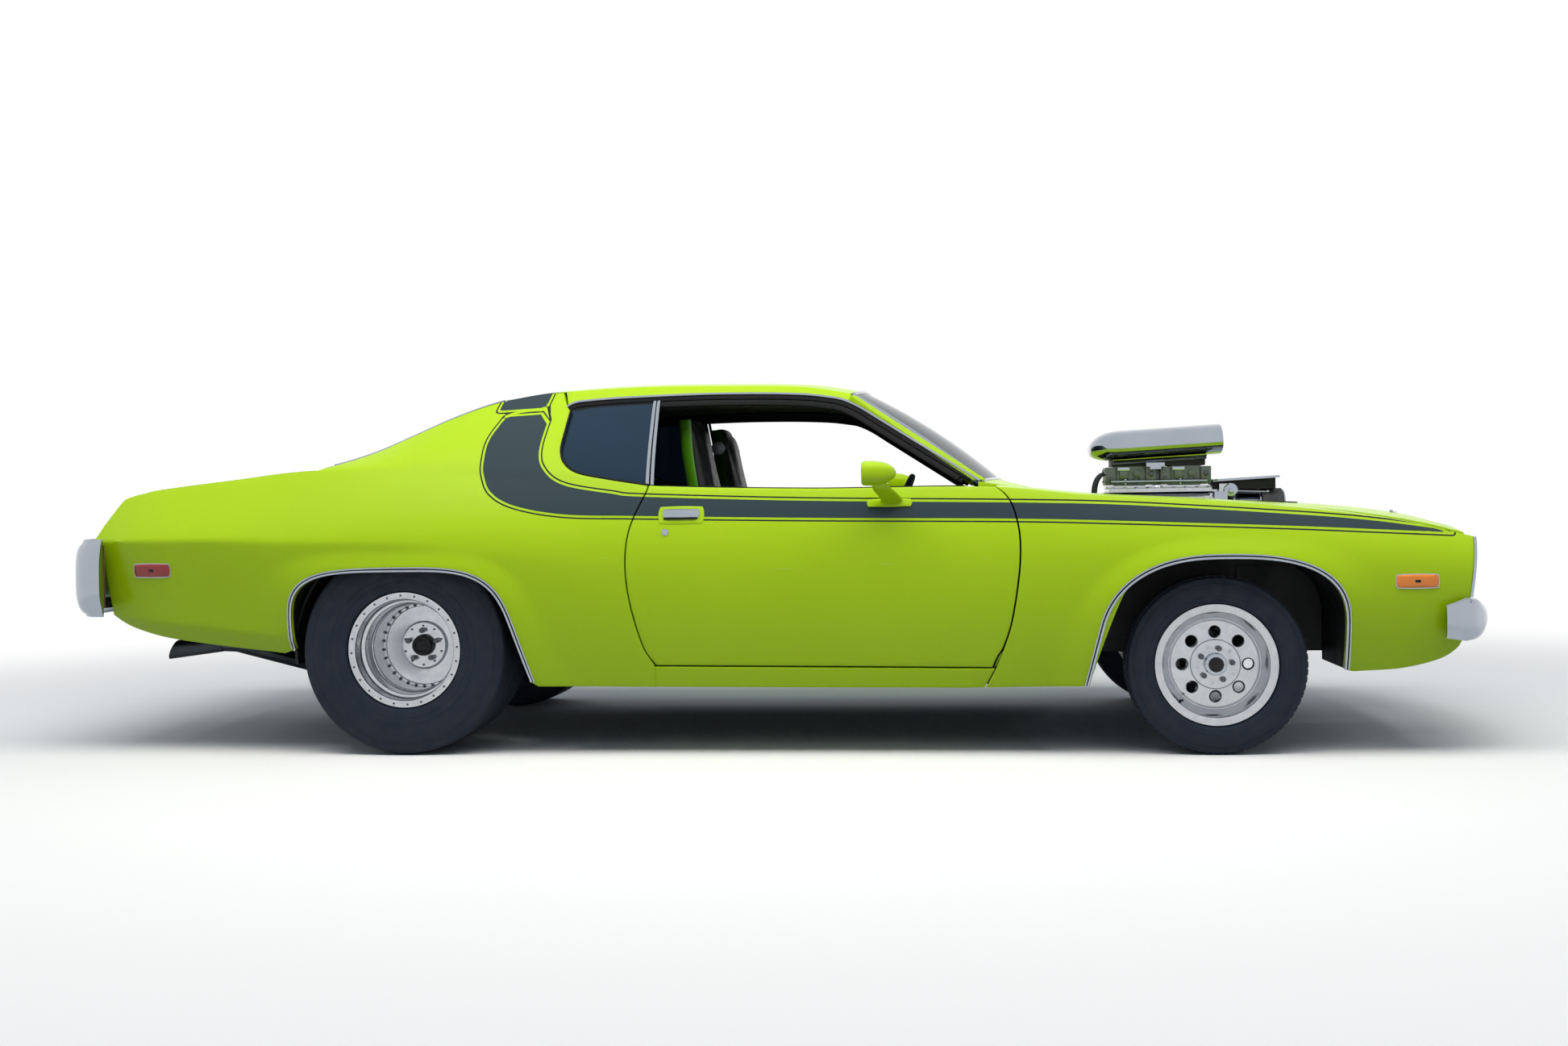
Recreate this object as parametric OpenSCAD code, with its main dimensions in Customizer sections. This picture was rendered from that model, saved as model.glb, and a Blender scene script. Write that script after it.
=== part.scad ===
// Two-door muscle car with a supercharger standing through its hood, as named pieces.
// Millimetres. +X is forward, +Y is the car's left, +Z is up, and the ground is z = 0.

/* [Car] */
// Distance between the front and rear axles
wheelbase = 2921; // [2860:1:2980]
// Overall length, bumper to bumper
car_length = 5340; // [5300:5:5400]
// Body width across the widest line of the quarters
body_width = 1970; // [1930:5:2000]
// Height of the roof's edge line above the ground, at its highest
roof_edge = 1356; // [1320:2:1390]

/* [Panels] */
// Thickness of fender and quarter skins
skin = 22; // [16:1:26]
// Thickness of a whole door, skin to trim
door_depth = 90; // [70:2:100]
// Thickness of the quarter wall and rear pillar
pillar_depth = 58; // [40:2:70]
// Gap round doors, hood and trunk lid
panel_gap = 6; // [5:0.5:9]
// Outward swell of the skin round a wheel arch
arch_swell = 13; // [4:1:18]

/* [Wheels] */
// Radius of a front tyre
front_tyre_radius = 314; // [300:1:322]
// Width of a front tyre
front_tyre_width = 180; // [150:2:200]
// Distance from the middle of the car to a front rim's outer face
front_rim_plane = 886; // [870:1:900]
// Radius of a rear slick
rear_tyre_radius = 386; // [366:1:396]
// Width of a rear slick
rear_tyre_width = 372; // [340:2:390]
// Distance from the middle of the car to a rear rim's outer face
rear_rim_plane = 922; // [910:1:930]
// Depth of the rear wheel's dish
rear_dish = 240; // [200:5:260]
// Radius of the rims at the tyre's bead
bead_radius = 190; // [184:1:196]

/* [Blower and scoop] */
// Length of the air scoop
scoop_length = 512; // [460:4:540]
// Height of the scoop at its mouth
scoop_height = 122; // [100:2:140]
// Width of the scoop
scoop_width = 322; // [280:4:340]
// Nose-up tilt of the scoop
scoop_tilt = 3; // [0:0.5:5]
// Length of the hole in the hood
hood_hole_length = 810; // [780:5:850]
// Width of the hole in the hood
hood_hole_width = 380; // [360:5:420]

/* [Doors and hinges] */
// Radius of a door hinge's pin
hinge_pin = 8; // [6:0.5:9]
// Radius of a hood pin
hood_pin = 6; // [5:0.5:8]

/* [Holes for fastening] */
// Radius of the upright tie-down holes through the rear rails
tie_down_radius = 12; // [8:1:16]
// Radius of the upright tow hole through each front rail
tow_radius = 12; // [8:1:16]

/* [Hidden] */
$fn = 48;

lime = [0.62, 0.78, 0.08];
black = [0.08, 0.08, 0.09];
chrome = [0.82, 0.84, 0.86];
steel = [0.5, 0.52, 0.54];
glass = [0.1, 0.13, 0.17];
red = [0.65, 0.04, 0.05];
amber = [0.9, 0.5, 0.05];

// The car is drawn at its usual size. A drawn place is carried to the length, wheelbase and width
// asked for by stretching the body between and beyond the wheel arches, which keep their size.
axle_shift = 165;
arch_reach = 450;
front_x = axle_shift + wheelbase / 2;
rear_x = axle_shift - wheelbase / 2;
half = car_length / 2;
DRAWN = 0; REAL = 1;
stretch = [
    [-3670, -half - 1000], [-2670, -half],
    [-1745.5, rear_x - arch_reach], [-845.5, rear_x + arch_reach],
    [1175.5, front_x - arch_reach], [2075.5, front_x + arch_reach],
    [2670, half], [3670, half + 1000]
];
rear_axle = (stretch[2][DRAWN] + stretch[3][DRAWN]) / 2;
front_axle = (stretch[4][DRAWN] + stretch[5][DRAWN]) / 2;
nose_end = stretch[6][DRAWN];
wide = body_width / 1970;
function at_x(x) = lookup(x, stretch);
function at_y(y) = y * wide;
function at(p) = len(p) == 2 ? [at_x(p[0]), at_y(p[1])] : [at_x(p[0]), at_y(p[1]), p[2]];
seat_gap = 0.3;
join_gap = 2.5;

// Rims are narrower than their tyres, and the tubs keep a named room to the slicks.
b = bead_radius;
rim_w = front_tyre_width - 50;
rear_w = rear_tyre_width - 36;
tyre_room = 30;
tub_in = (at_y(rear_rim_plane) - rear_w / 2 - rear_tyre_width / 2 - tyre_room) / wide;

// Body sections along the car: lower edge, widest line and belt, each as height and half-width,
// then how sharply the side curves below and above the widest line.
X = 0; Z_LOW = 1; Y_LOW = 2; Z_WIDE = 3; Y_WIDE = 4; Z_BELT = 5; Y_BELT = 6; P_LOW = 7; P_UP = 8;
body = [
    [-2500, 545, 838, 797, 900, 955, 800, 1.1, 1.08],
    [-2300, 470, 882, 798, 945, 987, 815, 1.1, 1.08],
    [-2000, 405, 902, 798, 967, 1020, 825, 1.15, 1.1],
    [-1700, 375, 912, 785, 977, 1050, 828, 1.4, 1.2],
    [-1300, 300, 918, 772, 985, 1048, 850, 1.7, 1.4],
    [-900, 255, 920, 715, 982, 1014, 868, 2, 1.8],
    [-400, 248, 915, 650, 970, 975, 888, 2, 2.1],
    [200, 243, 910, 625, 962, 955, 893, 2, 2.3],
    [850, 239, 910, 615, 966, 951, 893, 2, 2.4],
    [1200, 235, 915, 608, 978, 916, 902, 2, 2.5],
    [1640, 235, 915, 600, 984, 888, 902, 2, 2.6],
    [2050, 290, 903, 590, 968, 845, 888, 2, 2.6],
    [2300, 312, 888, 582, 944, 803, 874, 2, 2.6],
    [2510, 395, 866, 572, 912, 752, 858, 2, 2.6]
];

// Edge line of the roof and sail panels: height, half-width and the crown at the middle.
Z_EDGE = 1; Y_EDGE = 2; CROWN = 3;
roof_lift = roof_edge - 1356;
roof_line = [
    [-1700, 1050, 828, 22], [-1585, 1074, 800, 24], [-1455, 1118, 752, 28],
    [-1326, 1177 + roof_lift / 2, 710, 30], [-1198, 1237 + roof_lift, 672, 32],
    [-1070, 1287 + roof_lift, 636, 34], [-975, 1314 + roof_lift, 612, 35],
    [-815, 1339 + roof_lift, 587, 36], [-465, roof_edge, 572, 36], [-150, 1354 + roof_lift, 570, 36],
    [161, 1343 + roof_lift, 570, 36], [316, 1318 + roof_lift, 572, 34], [420, 1296 + roof_lift, 574, 30]
];

// Drip rail over the doors, as x and height.
drip_line = [[-800, 1268 + roof_lift], [-692, 1299 + roof_lift], [-442, 1314 + roof_lift],
    [-133, 1319 + roof_lift], [172, 1309 + roof_lift], [323, 1284 + roof_lift], [380, 1262 + roof_lift]];

// Wheel arches: centre, rise, then reach, squareness and spread of the back and front halves.
front_arch = [front_axle + 14, 444, 245, 347, 2.5, 0.181, 412, 2.8, 0];
rear_arch = [rear_axle + 5, 430, 245, 422, 4, 0, 341, 4, 0.233];

// Door cut lines in side view, from the bottom up.
door_front_line = [[819, 241], [856, 312], [880, 370], [915, 478], [943, 648], [947, 775],
    [929, 868], [904, 918], [868, 950]];
door_rear_line = [[-358, 325], [-393, 378], [-421, 459], [-448, 575], [-459, 691], [-451, 793],
    [-429, 865], [-393, 945], [-384, 974]];
fender_strip = 118;
fender_lip = 45;
hood_line = body[9][Y_BELT] - 4 - fender_strip;
cowl_edge = 982;
hinge_x = 869;
hinge_heights = [440, 770];

// Smooth value of one column of a table.
function row_of(t, x, i = 0) = (i >= len(t) - 2 || x < t[i + 1][0]) ? i : row_of(t, x, i + 1);
function slope(t, i, c) =
    let (a = max(i - 1, 0), b = min(i + 1, len(t) - 1))
    (t[b][c] - t[a][c]) / (t[b][0] - t[a][0]);
function col(t, x, c) =
    let (i = row_of(t, x), h = t[i + 1][0] - t[i][0], u = max(0, min(1, (x - t[i][0]) / h)),
        a = t[i][c], b = t[i + 1][c], p = slope(t, i, c) * h, q = slope(t, i + 1, c) * h)
    a + u * (p + u * (3 * (b - a) - 2 * p - q + u * (2 * (a - b) + p + q)));
function mix(a, b, u) = a + (b - a) * u;
function ease(a, b, x) = let (u = max(0, min(1, (x - a) / (b - a)))) u * u * (3 - 2 * u);

// How far out of an arch a point lies; 1 is on the arch's edge.
function arch_rho(x, z, a) =
    let (dx = x - a[0], dz = z - a[1], k = dx < 0 ? 3 : 6, n = a[k + 1],
        reach = a[k] * (1 + a[k + 2] * (1 - dz / a[2])))
    pow(pow(abs(dx) / reach, n) + pow(max(dz, 0) / a[2], n), 1 / n);
function swell(x, z) =
    let (a = x > 400 ? front_arch : rear_arch, r = arch_rho(x, z, a), u = max(0, 1 - max(r - 1, 0) / 0.34))
    arch_swell * u * u * (3 - 2 * u);

// Edge line over the whole length: deck, sail and roof, then fender.
function edge_z(x) = (x < -1640 || x > 400) ? col(body, x, Z_BELT) : col(roof_line, x, Z_EDGE);
function edge_y(x) = (x < -1640 || x > 400) ? col(body, x, Y_BELT) : col(roof_line, x, Y_EDGE);
function crown(x) = x < -1640 ? 20 : (x > 400 ? mix(34, 22, (x - 900) / 1600) : col(roof_line, x, CROWN));

// How far the skin tucks in under the low crease behind the rear wheel.
function tuck(x, z) = x < -1600 ? 0.5 * max(0, 438 - 0.1105 * (x + 1760) - z) : 0;

// Half-width of the body at a place along it and a height.
function side_y(x, z) =
    let (zw = col(body, x, Z_WIDE), yw = col(body, x, Y_WIDE), zb = col(body, x, Z_BELT),
        yb = col(body, x, Y_BELT), zl = col(body, x, Z_LOW), yl = col(body, x, Y_LOW))
    z <= zw ? yw - (yw - yl) * pow((zw - z) / (zw - zl), col(body, x, P_LOW)) + swell(x, z) - tuck(x, z)
    : z <= zb ? yw - (yw - yb) * pow((z - zw) / (zb - zw), col(body, x, P_UP)) + swell(x, z)
    : let (ze = edge_z(x), ye = edge_y(x))
        ze - zb < 3 ? yb : yb - (yb - ye) * pow(min(1, (z - zb) / (ze - zb)), 1.2);

// Height of the hood, roof, rear window or deck at a place.
function top_z(x, y) = edge_z(x) + crown(x) * (1 - pow(abs(y) / edge_y(x), 2.2));

// A smooth curve through points, and points evenly spaced along a line.
function curve(p, n = 5) = [
    for (i = [0 : len(p) - 2], k = [0 : n - 1])
        let (a = p[i], b = p[i + 1], u = k / n, ta = (b - p[max(i - 1, 0)]) / (i == 0 ? 1 : 2),
            tb = (p[min(i + 2, len(p) - 1)] - a) / (i == len(p) - 2 ? 1 : 2))
            a + u * (ta + u * (3 * (b - a) - 2 * ta - tb + u * (2 * (a - b) + ta + tb))),
    p[len(p) - 1]
];
function lengths(p) = [
    for (i = 0, s = 0; i < len(p); s = s + (i + 1 < len(p) ? norm(p[i + 1] - p[i]) : 0), i = i + 1) s
];
function spaced(p, n) =
    let (c = lengths(p), all = c[len(c) - 1], tx = [for (i = [0 : len(p) - 1]) [c[i], p[i][0]]],
        tz = [for (i = [0 : len(p) - 1]) [c[i], p[i][1]]])
    [for (k = [0 : n]) [lookup(all * k / n, tx), lookup(all * k / n, tz)]];
function moved(p, dx, dz) = [for (q = p) [q[0] + dx, q[1] + dz]];

// The edge of an arch from its back foot to its front foot.
function arch_line(a, z_back, z_front) = concat(
    [for (z = [z_back, (z_back + a[1]) / 2])
        [a[0] - a[3] * (1 + a[5] * (1 - (z - a[1]) / a[2])), z]],
    [for (g = [180 : -5 : 0])
        let (k = cos(g) < 0 ? 3 : 6, n = a[k + 1], dz = a[2] * pow(abs(sin(g)), 2 / n),
            u = a[k] * pow(abs(cos(g)), 2 / n))
            [a[0] + sign(cos(g)) * u * (1 + a[k + 2] * (1 - dz / a[2])), a[1] + dz]],
    [for (z = [(z_front + a[1]) / 2, z_front])
        [a[0] + a[6] * (1 + a[8] * (1 - (z - a[1]) / a[2])), z]]
);

// A patch between four edges, each a list of points: bottom, top, first side and last side.
function patch(b, t, l, r) =
    let (n = len(b) - 1, m = len(l) - 1)
    [for (i = [0 : n]) [for (j = [0 : m]) let (s = i / n, v = j / m)
        mix(b[i], t[i], v) + mix(l[j], r[j], s)
        - mix(mix(b[0], b[n], s), mix(t[0], t[n], s), v)]];

// A closed thick panel from its outer and inner grids of points.
module thick(outer, inner) {
    n = len(outer);
    m = len(outer[0]);
    k = n * m;
    points = concat([for (c = outer, p = c) at(p)], [for (c = inner, p = c) at(p)]);
    faces = concat(
        [for (i = [0 : n - 2], j = [0 : m - 2]) let (a = i * m + j, b = a + m) each
            [[a, b, b + 1], [a, b + 1, a + 1], [k + a, k + b + 1, k + b], [k + a, k + a + 1, k + b + 1]]],
        [for (i = [0 : n - 2]) let (a = i * m, b = a + m, c = b + m - 1, d = a + m - 1) each
            [[b, a, k + a], [b, k + a, k + b], [d, c, k + c], [d, k + c, k + d]]],
        [for (j = [0 : m - 2]) let (a = j, d = j + 1, b = (n - 1) * m + j, c = b + 1) each
            [[a, d, k + d], [a, k + d, k + a], [c, b, k + b], [c, k + b, k + c]]]
    );
    polyhedron(points, faces);
}

// A bar swept along a plan line; the section is a ring of (outward, height) pairs per station.
module swept(path, rings) {
    n = len(path);
    m = len(rings[0]);
    points = [for (i = [0 : n - 1]) let (t = path[min(i + 1, n - 1)] - path[max(i - 1, 0)],
        o = [-t[1], t[0]] / norm(t)) for (q = rings[i])
            at([path[i][0] + o[0] * q[0], path[i][1] + o[1] * q[0], q[1]])];
    faces = concat(
        [for (i = [0 : n - 2], j = [0 : m - 1]) let (a = i * m + j, b = i * m + (j + 1) % m) each
            [[a, b, b + m], [a, b + m, a + m]]],
        [for (j = [1 : m - 2]) each [[0, j + 1, j], [(n - 1) * m, (n - 1) * m + j, (n - 1) * m + j + 1]]]
    );
    polyhedron(points, faces);
}
module left() children();
module right() mirror([0, 1, 0]) children();
module both() {
    left() children();
    right() children();
}

// Bars, posts, balls, boxes, plates and pipes at drawn places; their radii are real ones.
module place(x, y, z) translate([at_x(x), at_y(y), z]) children();
module rod_x(r, x0, x1, y, z) place(x0, y, z) rotate([0, 90, 0]) cylinder(r = r, h = at_x(x1) - at_x(x0));
module rod_y(r, y0, y1, x, z) place(x, y0, z) rotate([-90, 0, 0]) cylinder(r = r, h = at_y(y1 - y0));
module post(r, z0, z1, x, y) place(x, y, z0) cylinder(r = r, h = z1 - z0);
module ball(r, x, y, z) place(x, y, z) sphere(r = r);
module box(x0, x1, y0, y1, z0, z1) place(x0, y0, z0) cube([at_x(x1) - at_x(x0), at_y(y1 - y0), z1 - z0]);
module side_plate(y0, y1, points) place(0, y1, 0) translate([-at_x(0), 0, 0]) rotate([90, 0, 0])
    linear_extrude(height = at_y(y1 - y0)) polygon([for (p = points) [at_x(p[0]), p[1]]]);

// A round pipe along a line of drawn points, with sides faces round it.
module pipe(r, line, sides) {
    path = [for (p = line) at(p)];
    n = len(path);
    points = [for (i = [0 : n - 1]) let (t = path[min(i + 1, n - 1)] - path[max(i - 1, 0)],
        s = cross(t, [0, 0, 1]), u = s / norm(s), v = cross(u, t / norm(t)))
        for (k = [0 : sides - 1]) path[i] + r * (cos(360 * k / sides) * u + sin(360 * k / sides) * v)];
    last = (n - 1) * sides;
    faces = concat(
        [for (i = [0 : n - 2], k = [0 : sides - 1])
            let (a = i * sides + k, c = i * sides + (k + 1) % sides) each
            [[a, c + sides, a + sides], [a, c, c + sides]]],
        [for (k = [1 : sides - 2]) each [[0, k + 1, k], [last, last + k, last + k + 1]]]
    );
    polyhedron(points, faces);
}

// Outer grid of a side panel from its (x, z) patch, and the skin behind it.
function skin_out(g) = [for (c = g) [for (p = c) [p[0], side_y(p[0], p[1]), p[1]]]];

// Quarter with its sail panel and pillar.
function quarter_depth(x, z) =
    let (up = ease(800, 900, z) * ease(-1740, -1600, x), fore = ease(-860, -770, x),
        near = min(1, max(0, (edge_z(x) - z) / 110)))
    skin + (pillar_depth - skin) * max(up, fore) * ease(0, 1, near);
quarter_window = spaced(curve([[-724, 1262 + roof_lift * 0.9], [-729, 1180], [-731, 1112], [-710, 1062],
    [-655, 1024], [-545, 1000], [-384 - panel_gap / 2, 974]]), 17);
quarter_top = concat(
    spaced(concat([[-2424, 944], [-2412, 957], [-2372, 970]],
        [for (x = [-2290 : 90 : -1660]) [x, col(body, x, Z_BELT) - join_gap]],
        [for (x = [-1585 : 70 : -800]) [x, edge_z(x) - join_gap]],
        [[-766, edge_z(-766) - join_gap - 1]]), 21),
    [[-741, drip(-735) - 4]],
    quarter_window
);
quarter_bottom = concat(
    spaced(curve([[-2450, 520], [-2395, 482], [-2308, 451], [-2213, 429], [-2033, 404], [-1765, 374]]), 7),
    spaced(arch_line(rear_arch, 392, 268), 24),
    spaced([[-790, 252], [-361, 247]], 7)
);
quarter_back = [[-2450, 520], [-2458, 640], [-2465, 740], [-2496, 800], [-2468, 863], [-2424, 944]];
quarter_front = concat([[-361, 247], [-361, 318]],
    moved(curve(door_rear_line, 3), -panel_gap / 2, 0));
module quarter_solid() {
    m = 7;
    out = skin_out(patch(quarter_bottom, quarter_top, spaced(quarter_back, m), spaced(quarter_front, m)));
    inn = [for (c = out) [for (p = c) [p[0], p[1] - quarter_depth(p[0], p[2]), p[2]]]];
    thick(out, inn);
}
module quarter_left() color(lime) left() quarter_solid();
module quarter_right() color(lime) right() quarter_solid();

// Fender with its top strip up to the hood line.
fender_bottom = concat([[822, 241]], arch_line(front_arch, 246, 300),
    curve([[2080, 293], [2244, 301], [2378, 331], [2437, 366], [2455, 395]]));
fender_top = [for (k = [0 : 24]) let (x = mix(868 + panel_gap / 2, 2505, k / 24)) [x, col(body, x, Z_BELT)]];
fender_front = [[2455, 395], [2475, 546], [2505, col(body, 2505, Z_BELT)]];
fender_back = moved(door_front_line, panel_gap / 2, 0);
module fender_solid() {
    n = 28;
    m = len(fender_back) - 1;
    side = skin_out(patch(spaced(fender_bottom, n), spaced(fender_top, n), fender_back,
        spaced(fender_front, m)));
    out = [for (i = [0 : n]) let (x = side[i][m][0], y = side[i][m][1]) concat(side[i],
        [for (k = [1 : 2]) let (v = mix(y, hood_line, k / 2)) [x, v, top_z(x, v)]])];
    inn = [for (i = [0 : n]) let (d = i < 2 ? 4 : skin) [for (j = [0 : m + 2]) let (p = out[i][j])
        j < m ? [p[0], p[1] - d, p[2]] : (j == m ? [p[0], p[1] - d, p[2] - d]
            : [p[0], p[1], p[2] - (j == m + 2 && i > 1 ? fender_lip : d)])]];
    thick(out, inn);
}
module fender_left() color(lime) left() fender_solid();
module fender_right() color(lime) right() fender_solid();

// Sill under a door.
module sill_solid() {
    xs = [-360.7, -200, 0, 200, 400, 600, 760, 856];
    out = [for (x = xs) let (front = x > 800) [for (k = [0 : 2])
        let (top = mix(325, 312, (x + 358) / 1214) - panel_gap / 2,
            z = mix(front ? 241 : col(body, x, Z_LOW), top, k / 2),
            px = front ? mix(819, 856, k / 2) - join_gap : x) [px, side_y(px, z), z]]];
    inn = [for (c = out) [for (p = c) [p[0], 800, p[2]]]];
    thick(out, inn);
}
module sills() color(lime) both() sill_solid();

// Door with two hinge knuckles in notches behind its front edge.
door_foot = [[847, 312 + panel_gap / 2], [861, 347], [869, 362], [885, 386]];
door_bottom = [for (k = [0 : 6]) let (x = mix(-358 + panel_gap / 2, door_foot[0][0] - panel_gap / 2, k / 6))
    [x, k == 6 ? door_foot[0][1] : mix(325, 312, (x + 358) / 1214) + panel_gap / 2]];
door_top = [for (k = [0 : 12]) let (x = mix(-384 + panel_gap / 2, 868 - panel_gap / 2, k / 12))
    [x, col(body, x, Z_BELT)]];
hinge_y = side_y(hinge_x, 650) - 35;
module door_solid() {
    n = 14;
    front_line = concat(door_foot, [for (i = [3 : 8]) door_front_line[i]]);
    m = len(front_line) - 1;
    rear_line = concat([[-358, 325 + panel_gap / 2]], [for (i = [1 : 8]) door_rear_line[i]]);
    out = skin_out(patch(spaced(door_bottom, n), spaced(door_top, n),
        spaced(moved(curve(rear_line, 3), panel_gap / 2, 0), m),
        moved(front_line, -panel_gap / 2, 0)));
    inn = [for (c = out) [for (p = c) [p[0], p[1] - door_depth, p[2]]]];
    difference() {
        thick(out, inn);
        for (z = hinge_heights) box(hinge_x - 18, 1000, 700, hinge_y + 13, z - 42, z + 42);
    }
    for (z = hinge_heights) difference() {
        union() {
            post(hinge_pin + 4, z - 20, z + 20, hinge_x, hinge_y);
            box(hinge_x - 40, hinge_x, hinge_y - 9, hinge_y + 9, z - 20, z + 20);
        }
        post(hinge_pin + 0.08, z - 30, z + 30, hinge_x, hinge_y);
    }
}
module door_left() color(lime) left() door_solid();
module door_right() color(lime) right() door_solid();

// Hinge posts beside the firewall, with arms and pins for the doors.
module door_posts() color(black) both() {
    box(840, 985, 760, 800, floor_z + 16 + seat_gap, 898);
    for (z = hinge_heights) {
        post(hinge_pin, z - 34, z + 34, hinge_x, hinge_y);
        for (s = [-34, 22]) {
            box(hinge_x - hinge_pin, hinge_x + hinge_pin, 799, hinge_y, z + s, z + s + 12);
        }
    }
}

// Hood, hinged along its back edge, open round the blower.
hood_back = cowl_edge + panel_gap;
hole_back = 1232;
function hood_front(y) = 2496 + 46 * (1 - pow(abs(y) / hood_line, 2));
module hood() color(lime) {
    edge = hood_line - panel_gap;
    rows = [for (k = [0 : 14]) mix(edge, -edge, k / 14)];
    out = [for (i = [0 : 12]) [for (y = rows) let (x = mix(hood_back, hood_front(y), i / 12))
        [x, y, top_z(x, y)]]];
    inn = [for (c = out) [for (p = c) [p[0], p[1], p[2] - 20]]];
    difference() {
        thick(out, inn);
        box(hole_back, hole_back + hood_hole_length, -hood_hole_width / 2, hood_hole_width / 2, 700, 1100);
        for (s = [-1, 1]) post(hood_pin + 0.5, 600, 1000, 2345, s * 400);
    }
}

// Roof with its drip rails.
roof_back = -1000;
function roof_front(y) = 335 + 40 * (1 - pow(min(1, abs(y) / 560), 2));
function drip(x) = col(drip_line, x, 1);
module roof() color(lime) {
    cols = [-1000, -930, -860, -800, -760, -735, -640, -540, -440, -320, -200, -80, 40, 150, 250, 335];
    out = [for (x = cols) let (long = x > -740, ye = long ? edge_y(x) : edge_y(x) - skin - join_gap,
        zd = long ? drip(x) : top_z(x, ye) - 3, yd = long ? side_y(x, drip(x)) : ye + 1.5,
        half_rows = concat([[yd, zd]], [for (k = [0 : 4]) let (y = ye * (1 - k / 5)) [y, top_z(x, y)]]))
        concat([for (r = half_rows) [x, r[0], r[1]]], [[x, 0, top_z(x, 0)]],
            [for (k = [5 : -1 : 0]) [x, -half_rows[k][0], half_rows[k][1]]])];
    bowed = [for (c = out) [for (p = c) [p[0] > 150
        ? mix(150, roof_front(p[1]), (p[0] - 150) / 185) : p[0], p[1], p[2]]]];
    inn = [for (c = bowed) let (w = len(c) - 1) [for (j = [0 : w]) let (p = c[j], s = sign(p[1]))
        j == 0 || j == w ? [p[0], p[1] - s * 24, p[2]] : (j == 1 || j == w - 1
            ? [p[0], p[1] - s * 24, p[2] - 24] : [p[0], p[1], p[2] - 24])]];
    thick(bowed, inn);
}

// Windshield posts, from the roof's front down to the cowl.
module windshield_pillars() color(black) both() hull() {
    zr = drip(335);
    box(335 + seat_gap, 355 + seat_gap, 566, side_y(330, zr) - 2, zr + 2, zr + 24);
    box(790, 832, foot_half + 10, foot_half + 44, 977, 981);
}

// Curve of the windshield's foot, shared with the cowl.
foot_rows = [for (k = [0 : 10]) 1 - k / 5];
foot_margin = 68;
foot_half = hood_line - foot_margin;
function foot(u) = [903 - 82 * u * u, foot_half * u, 990 - 16 * u * u];
function head(u) = [roof_front(548 * u) + 6, 548 * u, top_z(334, 548 * u) - 7];
module windshield() color(glass) {
    out = [for (i = [0 : 5]) [for (u = foot_rows) let (w = 1 - i / 5, p = mix(foot(u), head(u), w))
        p + [10, 0, 18] * 4 * w * (1 - w) * (1 - u * u * 0.6) + [-seat_gap, 0, 0.2]]];
    inn = [for (c = out) [for (p = c) p + [-4, 0, -5]]];
    thick(out, inn);
}
module cowl() color(lime) {
    edge = hood_line - panel_gap;
    rows = concat([edge], [for (u = foot_rows) foot_half * u], [-edge]);
    out = [for (i = [0 : 2]) [for (y = rows)
        let (u = y / foot_half, f = foot(u), x = mix(f[0], cowl_edge, i / 2))
        [x, y, mix(min(f[2], 988), top_z(cowl_edge, y), i / 2)]]];
    inn = [for (c = out) [for (p = c) [p[0], p[1], 900]]];
    thick(out, inn);
}

// Rear window, following the sail panels, and the fixed quarter glass.
module rear_window() color(glass) {
    cols = [-1599.7, -1520, -1440, -1350, -1260, -1170, -1085, -1000.3];
    out = [for (x = cols) let (e = edge_y(x) - skin - 3 * join_gap) [for (k = [0 : 8])
        let (y = mix(e, -e, k / 8)) [x, y, top_z(x, y)]]];
    inn = [for (c = out) [for (p = c) [p[0], p[1], p[2] - 6]]];
    thick(out, inn);
}
module quarter_glass() color(glass) both() {
    corner = 7;
    rise = [for (k = [corner, 5, 2, 0]) quarter_window[k] + [0.5, 0.5]];
    low = [for (k = [corner : 17]) quarter_window[k] + [0.5, 0.5]];
    top_x = [rise[3][0], -402];
    fore = [for (k = [0 : 3]) mix(low[10], [top_x[1], drip(top_x[1]) - 5], k / 3)];
    high = [for (k = [0 : 10]) let (x = mix(top_x[0], top_x[1], k / 10))
        [x, k == 0 ? rise[3][1] : drip(x) - 5]];
    out = [for (c = patch(low, high, rise, fore)) [for (p = c) [p[0], side_y(p[0], p[1]) - 16, p[1]]]];
    inn = [for (c = out) [for (p = c) [p[0], p[1] - 5, p[2]]]];
    thick(out, inn);
}

// Deck round the trunk lid, and the lid.
deck_front = -1600;
lid_front = -1745;
deck_border = 67;
lid_half = edge_y(-2378) - skin - deck_border;
function tail_bow(y) = 58 * (1 - pow(abs(y) / 800, 2));
deck_end = -2404;
function deck_back(y) = deck_end - tail_bow(y);
function lid_back(y) = deck_end + 50 - tail_bow(y);
function deck_z(x, y) = top_z(x, y) - 60 * pow(max(0, (-2300 - x)) / 130, 2) * 0.4;
module deck_shell(x0, back, half_w, gap, n, m) {
    out = [for (i = [n : -1 : 0]) [for (k = [0 : m]) let (v = 1 - 2 * k / m,
        x1 = mix(x0, deck_end, i / n), y = v * (half_w > 0 ? half_w : edge_y(x1) - skin - join_gap),
        x = mix(x0, back == 0 ? deck_back(y) : lid_back(y) + gap, i / n)) [x, y, deck_z(x, y)]]];
    inn = [for (c = out) [for (p = c) [p[0], p[1], p[2] - 20]]];
    thick(out, inn);
}
module deck_panel() color(lime) {
    difference() {
        deck_shell(deck_front, 0, 0, 0, 10, 12);
        translate([0, 0, 700]) linear_extrude(height = 500) polygon(concat(
            [at([lid_front, lid_half]), at([lid_front, -lid_half])],
            [for (k = [0 : 8]) let (y = mix(-lid_half, lid_half, k / 8)) at([lid_back(y), y])]));
    }
}
module trunk_lid() color(lime) difference() {
    deck_shell(lid_front - panel_gap, 1, lid_half - panel_gap, panel_gap, 6, 10);
    post(hood_pin + 0.5, 800, 1000, -2300, 0);
}

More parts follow.
